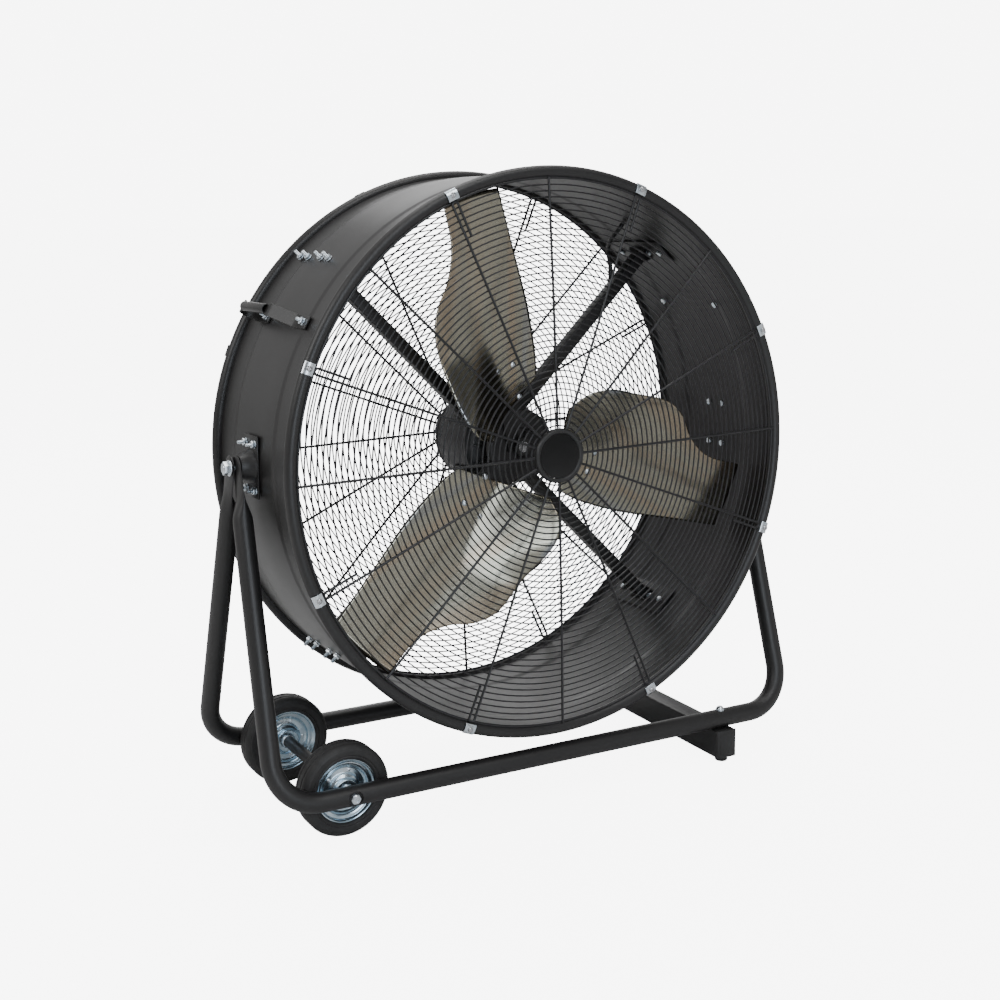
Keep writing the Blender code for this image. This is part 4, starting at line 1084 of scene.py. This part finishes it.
def make_stand_loop(word, end):
    """A bent tube from pivot to pivot, with flat ends and a dimple over the axle."""
    rows = [TAB_HALF_WIDTH * -cos(pi / 2 * k / 10) for k in range(1, 10)]
    rows += [0.0, 0.010, 0.020, TAB_FLAT_LENGTH]
    blend = TAB_BLEND_LENGTH - TAB_FLAT_LENGTH
    rows += [TAB_FLAT_LENGTH + blend * k / 8 for k in range(1, 9)]
    left_top, right_top = leg_top(-1, end), leg_top(1, end)
    left_corner, right_corner = base_corner(-1, end), base_corner(1, end)
    left_down = (left_corner - left_top).normalized()
    right_down = (right_corner - right_top).normalized()
    points = [left_top + left_down * row for row in rows]
    points += bend_points(left_corner, left_top, right_corner)
    points += bend_points(right_corner, left_corner, right_top)
    points += [right_top + right_down * row for row in reversed(rows)]
    bm = tube_mesh(points, TUBE_RADIUS, 36)
    flatten_leg_end(bm, -1, end)
    flatten_leg_end(bm, 1, end)
    loop = object_from(f"stand_tube_{word}", bm)
    dimple = bmesh.new()
    place = shift(WHEEL_X, 0.0, BASE_HEIGHT) @ spin(-end * pi / 2, "X")
    add_turned(dimple, [(0.0, DIMPLE_PLANE), (DIMPLE_RADIUS - 0.0015, DIMPLE_PLANE),
                        (DIMPLE_RADIUS, DIMPLE_PLANE + 0.0015), (DIMPLE_RADIUS + 0.002, 0.20),
                        (0.0, 0.20)], 48, place)
    carve(loop, dimple)
    soften(loop, 0.0006)
    piece(loop, "stand", "black_coat", f"stand_loop_{word}")


def make_cross_foot():
    """The square tube across the stand, with its end caps, rubber pads and screws."""
    half = FOOT_WIDTH / 2
    bm = bmesh.new()
    add_box(bm, (FOOT_X - half, -FOOT_HALF_LENGTH, FOOT_BOTTOM),
            (FOOT_X + half, FOOT_HALF_LENGTH, FOOT_TOP), 0.0035, 4)
    solid("foot_bar", bm, "stand", "black_coat", "cross_foot_beam")
    for word, end in (("front", -1), ("rear", 1)):
        cap = bmesh.new()
        start, stop = sorted((end * (FOOT_HALF_LENGTH - 0.0005), end * (FOOT_HALF_LENGTH + 0.0034)))
        add_box(cap, (FOOT_X - half, start, FOOT_BOTTOM), (FOOT_X + half, stop, FOOT_TOP),
                0.0014, 3)
        edge = 0.006
        start, stop = sorted((end * (FOOT_HALF_LENGTH + 0.0030), end * (FOOT_HALF_LENGTH + 0.0037)))
        add_box(cap, (FOOT_X - half + edge, start, FOOT_BOTTOM + edge),
                (FOOT_X + half - edge, stop, FOOT_TOP - edge), 0.0003, 2)
        solid(f"foot_end_{word}", cap, "stand", "black_plastic", f"foot_cap_{word}")
        pad = [(0.0, 0.0), (0.0102, 0.0), (0.0110, 0.0012), (0.0118, FOOT_BOTTOM - 0.002),
               (0.0112, FOOT_BOTTOM), (0.0, FOOT_BOTTOM)]
        turned(f"foot_rubber_{word}", pad, 0.0006, 48, shift(FOOT_X, end * PAD_Y, 0.0), "stand",
               "black_rubber", f"foot_pad_{word}")
        bolt = bmesh.new()
        place = shift(FOOT_X, end * BASE_Y, 0.0)
        top = BASE_HEIGHT + TUBE_RADIUS
        add_washer(bolt, 0.004, 0.0078, top - 0.0018, top + 0.0006, place)
        add_turned(bolt, rounded([(0.0, top), (0.0072, top), (0.0070, top + 0.0022),
                                  (0.0045, top + 0.0056), (0.0, top + 0.0066)], 0.001), 40, place)
        solid(f"foot_screw_{word}", bolt, "stand", "zinc", f"foot_bolt_{word}")


# Wheels -----------------------------------------------------------------------
def make_axle():
    """The wheels' axle, drilled at its ends, with its spacer tube and nuts."""
    centre = shift(WHEEL_X, 0.0, BASE_HEIGHT) @ FORWARD
    half = AXLE_HALF_LENGTH
    rim = AXLE_RADIUS - AXLE_CHAMFER
    hole = 0.0040
    front_end = [(0.0, half - 0.006), (hole, half - 0.005), (hole, half), (rim, half),
                 (AXLE_RADIUS, half - AXLE_CHAMFER)]
    turned("wheel_axle", mirrored(front_end), 0.0, 36, centre, "stand", "zinc", "axle_rod")
    reach = WHEEL_Y - BUSH_HALF_LENGTH - BORE_GAP
    turned("wheel_spacer", block(AXLE_RADIUS + BORE_GAP, 0.010, -reach, reach), 0.0004, 40, centre,
           "stand", "black_coat", "axle_spacer")
    for word, end in (("front", 1), ("rear", -1)):
        nut = bmesh.new()
        low, high = sorted((end * (DIMPLE_PLANE + 0.0003), end * (DIMPLE_PLANE + 0.0068)))
        add_hexagon(nut, 0.0145, low, high, centre)
        solid(f"wheel_nut_{word}", nut, "stand", "zinc", f"axle_nut_{word}")


def mirrored(half):
    return half + [(r, -z) for r, z in reversed(half)]


def make_wheel(word, end):
    """A rubber tyre on a pressed zinc rim that steps down to its bearing."""
    centre = shift(WHEEL_X, end * WHEEL_Y, BASE_HEIGHT) @ FORWARD
    body = f"wheel_{word}"
    half = TYRE_HALF_WIDTH
    side = [(TYRE_INNER, half - 0.0048), (0.0535, half - 0.0012), (0.0560, half - 0.0004),
            (0.0572, half - 0.0016), (0.0584, half - 0.0004), (0.0662, half),
            (0.0676, half - 0.0012), (0.0694, half - 0.0018), (0.0730, half - 0.0050),
            (WHEEL_RADIUS, half - 0.0090), (WHEEL_RADIUS, 0.0082), (WHEEL_RADIUS - 0.0014, 0.0076),
            (WHEEL_RADIUS - 0.0014, 0.0056), (WHEEL_RADIUS, 0.0050)]
    turned(f"tyre_{word}_rubber", mirrored(side), 0.0009, 128, centre, body, "tyre_rubber",
           f"tyre_{word}")
    rim = [(0.0123, 0.0188), (0.0185, 0.0188), (0.0200, 0.0150), (0.0212, 0.0125),
           (0.0250, 0.0100), (0.0272, 0.0062), (0.0350, 0.0055), (0.0382, 0.0080),
           (0.0400, 0.0112), (0.0432, 0.0128), (0.0462, 0.0130), (0.0482, 0.0160),
           (0.0505, 0.0176), (0.0518, 0.0160), (0.0505, 0.0130)]
    turned(f"rim_{word}", mirrored(rim), 0.0010, 112, centre, body, "zinc", f"wheel_disc_{word}",
           mat=RIM_ZINC)
    rivets = bmesh.new()
    for k in range(5):
        for face in (1, -1):
            turn = spin(tau * k / 5)
            flip = spin(0.0 if face > 0 else pi, "X")
            add_turned(rivets, [(0.0, -0.001), (0.0028, -0.001), (0.0026, 0.0006),
                                (0.0014, 0.0013), (0.0, 0.0015)], 20,
                       centre @ turn @ shift(RIM_RIVET_CIRCLE, 0.0, face * 0.0058) @ flip)
    solid(f"rim_{word}_rivets", rivets, body, "zinc")
    bore = AXLE_RADIUS + BORE_GAP
    half = BUSH_HALF_LENGTH
    bush = [(bore, -half), (0.0105, -half), (0.0118, -0.019), (0.0118, 0.019), (0.0105, half),
            (bore, half)]
    turned(f"wheel_bearing_{word}", bush, 0.0005, 48, centre, body, "zinc", f"wheel_bush_{word}")


# Switch box and lead ----------------------------------------------------------
def make_switch_box():
    """The moulded box on the drum's outside, its raised lid and four screws."""
    place = radial(BOX_AZIMUTH)
    half = BOX_WIDTH / 2
    bm = bmesh.new()
    add_box(bm, (-half, BOX_FRONT, SEAT_OUTSIDE + 0.0003), (half, BOX_REAR, BOX_TOP - 0.0022),
            0.0035, 4, place)
    inset = 0.0012
    add_box(bm, (-half + inset, BOX_FRONT + inset, BOX_TOP - 0.0030),
            (half - inset, BOX_REAR - inset, BOX_TOP), 0.0010, 3, place)
    solid("switch_housing", bm, "drum", "black_plastic", "switch_box")
    screws = bmesh.new()
    for x in (-half + 0.007, half - 0.007):
        for y in (BOX_FRONT + 0.007, BOX_REAR - 0.007):
            add_turned(screws, rounded([(0.0, BOX_TOP - 0.001), (0.0032, BOX_TOP - 0.001),
                                        (0.0030, BOX_TOP + 0.0008), (0.0, BOX_TOP + 0.0016)],
                                       0.0004), 24, place @ shift(x, y, 0.0))
    solid("switch_housing_screws", screws, "drum", "zinc")


def make_knob():
    """The speed knob with its grip bar and ridged edge, on a round dial plate."""
    centre = radial(BOX_AZIMUTH) @ shift(0.0, KNOB_Y, 0.0)
    turned("switch_dial_plate", block(0.0, KNOB_RADIUS + 0.006, BOX_TOP - 0.0002, BOX_TOP + 0.0004),
           0.0002, 64, centre, "drum", "bright_steel")
    knob = bmesh.new()
    base = BOX_TOP + 0.0008
    add_turned(knob, rounded([(0.0, KNOB_TOP - 0.0035), (KNOB_RADIUS - 0.004, KNOB_TOP - 0.0035),
                              (KNOB_RADIUS - 0.001, KNOB_TOP - 0.006), (KNOB_RADIUS + 0.001, base),
                              (0.0, base)], 0.001), 64, centre)
    grip_reach = KNOB_RADIUS - 0.001
    add_box(knob, (-0.0035, -grip_reach, base + 0.002), (0.0035, grip_reach, KNOB_TOP), 0.0012, 3,
            centre)
    for k in range(KNOB_RIDGES):
        turn = spin(tau * k / KNOB_RIDGES)
        add_box(knob, (KNOB_RADIUS - 0.001, -0.0006, base + 0.0005),
                (KNOB_RADIUS + 0.0012, 0.0006, KNOB_TOP - 0.0075), 0.0003, 1, centre @ turn)
    solid("speed_knob", knob, "switch_knob", "black_plastic", "switch_knob")


def make_gland():
    """The cable gland on the rear of the switch box."""
    gland = bmesh.new()
    axis = radial(BOX_AZIMUTH) @ shift(0.0, BOX_REAR, GLAND_HEIGHT) @ spin(-pi / 2, "X")
    add_turned(gland, rounded([(0.0042, 0.0), (0.0095, 0.0), (0.0095, 0.004), (0.0086, 0.0045),
                               (0.0092, 0.012), (0.0078, 0.020), (0.0060, 0.0238),
                               (0.0042, 0.0238)], 0.0006), 48, axis)
    for k in range(GLAND_RIDGES):
        turn = spin(tau * k / GLAND_RIDGES)
        add_box(gland, (0.0080, -0.0008, 0.0046), (0.0100, 0.0008, 0.0125), 0.0004, 1, axis @ turn)
    solid("gland_body", gland, "drum", "black_plastic", "cable_gland")


def make_motor_lead():
    """From the wall below the switch box, looping to an arm and down its back to the motor."""
    rear_of_arm = ARM_MIDDLE + ARM_DEPTH / 2 + LEAD_RADIUS + 0.002
    arm = ARM_AZIMUTHS[0]
    places = [(0.4545, 0.60, 0.012), (0.440, 0.60, 0.014), (0.424, 0.62, 0.036),
              (0.412, 0.67, 0.062), (0.395, 0.74, rear_of_arm + 0.006), (0.360, arm, rear_of_arm),
              (0.280, arm, rear_of_arm), (0.200, arm, rear_of_arm), (0.130, arm, rear_of_arm),
              (0.095, arm, rear_of_arm), (0.0755, arm, rear_of_arm + 0.001)]
    route = smooth_route([in_drum(*place) for place in places], 8)
    piece(wire("lead_to_motor", [route], LEAD_RADIUS, resolution=5), "drum", "black_plastic",
          "motor_lead")
    clips = bmesh.new()
    for radius in LEAD_CLIP_RADII:
        place = radial(arm) @ shift(0.0, rear_of_arm, radius)
        add_turned(clips, rounded(block(LEAD_RADIUS, LEAD_RADIUS + 0.0012, -0.005, 0.005), 0.0003),
                   32, place)
        add_box(clips, (LEAD_RADIUS - 0.0005, -LEAD_RADIUS - 0.0020, -0.005),
                (0.0105, -LEAD_RADIUS - 0.0008, 0.005), 0.0003, 1, place)
    solid("lead_clips", clips, "drum", "zinc")


# Inner pieces that stay as the frame has them ---------------------------------
def finish_kept_nodes():
    kept = {"stator": COPPER, "bearing_front": STEEL, "bearing_rear": STEEL, "rotor_core": STEEL,
            "rotary_switch": PLASTIC, "run_capacitor": STEEL}
    for name, mat in kept.items():
        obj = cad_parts[name]
        obj.data.materials.clear()
        obj.data.materials.append(mat)


# Studio -----------------------------------------------------------------------
def make_camera():
    data = bpy.data.cameras.new("camera")
    data.lens = LENS
    data.sensor_width = SENSOR
    data.shift_x, data.shift_y = LENS_SHIFT
    camera = bpy.data.objects.new("camera", data)
    camera.location = CAMERA_PLACE
    camera.rotation_euler = (CAMERA_TILT, 0.0, CAMERA_TURN)
    bpy.context.scene.collection.objects.link(camera)
    bpy.context.scene.camera = camera


def make_floor():
    bm = bmesh.new()
    bmesh.ops.create_grid(bm, x_segments=8, y_segments=8, size=FLOOR_REACH)
    floor = object_from("floor", bm)
    floor.data.materials.append(floor_paper())


def area_light(name, place, size, power, colour=(1.0, 1.0, 1.0)):
    """A rectangular light at a place, turned to the middle of the object."""
    data = bpy.data.lights.new(name, "AREA")
    data.shape = "RECTANGLE"
    data.size, data.size_y = size
    data.energy = power
    data.color = colour
    light = bpy.data.objects.new(name, data)
    light.location = place
    light.rotation_euler = (Vector(LIGHT_AIM) - Vector(place)).to_track_quat("-Z", "Y").to_euler()
    bpy.context.scene.collection.objects.link(light)


def make_world():
    """A white backdrop behind the object and a dim room in front of it."""
    world = bpy.data.worlds.new("studio")
    world.use_nodes = True
    tree = world.node_tree
    background = tree.nodes["Background"]
    set_inputs(background, Color=(1.0, 1.0, 1.0, 1.0))
    place = tree.nodes.new("ShaderNodeTexCoord")
    split = tree.nodes.new("ShaderNodeSeparateXYZ")
    tree.links.new(place.outputs["Generated"], split.inputs["Vector"])
    room = spread(tree, split.outputs["Y"], BEFORE, BEHIND, -0.35, 0.55)
    path = tree.nodes.new("ShaderNodeLightPath")
    choice = tree.nodes.new("ShaderNodeMix")
    tree.links.new(path.outputs["Is Camera Ray"], choice.inputs["Factor"])
    tree.links.new(room, choice.inputs["A"])
    choice.inputs["B"].default_value = BACKDROP
    tree.links.new(choice.outputs["Result"], background.inputs["Strength"])
    bpy.context.scene.world = world


def make_lights():
    area_light("front softbox", (-0.65, -3.1, 1.3), (1.2, 2.4), 42.0, (0.84, 0.91, 1.0))
    area_light("high softbox", (0.3, -2.4, 3.6), (1.6, 1.6), 45.0)
    area_light("low card", (0.8, -3.2, 0.9), (1.2, 1.2), 3.0)
    area_light("right card", (2.5, -1.9, 0.6), (1.8, 1.8), 6.5)
    area_light("left softbox", (-3.2, -0.6, 2.6), (1.8, 1.8), 52.0)
    area_light("top softbox", (0.3, 0.6, 3.6), (2.2, 2.2), 55.0)
    area_light("back softbox", (1.4, 3.2, 1.8), (1.8, 1.8), 25.0)


def main():
    make_camera()
    make_floor()
    make_world()
    make_lights()
    make_drum_shell()
    make_guard("front", -1.0, "front_grille")
    make_guard("rear", 1.0, "rear_grille")
    make_clips("front", 1.0)
    make_clips("rear", -1.0)
    make_badge()
    make_handle("left", -HANDLE_AZIMUTH, 1.0)
    make_handle("right", HANDLE_AZIMUTH, -1.0)
    make_motor()
    for number, azimuth in enumerate(ARM_AZIMUTHS, start=1):
        make_arm(number, azimuth)
    make_hub()
    for number, azimuth in enumerate(BLADE_AZIMUTHS, start=1):
        make_blade(number, azimuth)
    make_pivot("left", -pi / 2)
    make_pivot("right", pi / 2)
    make_stand_loop("front", -1)
    make_stand_loop("rear", 1)
    make_cross_foot()
    make_axle()
    make_wheel("front", -1)
    make_wheel("rear", 1)
    make_switch_box()
    make_knob()
    make_gland()
    make_motor_lead()
    finish_kept_nodes()


main()
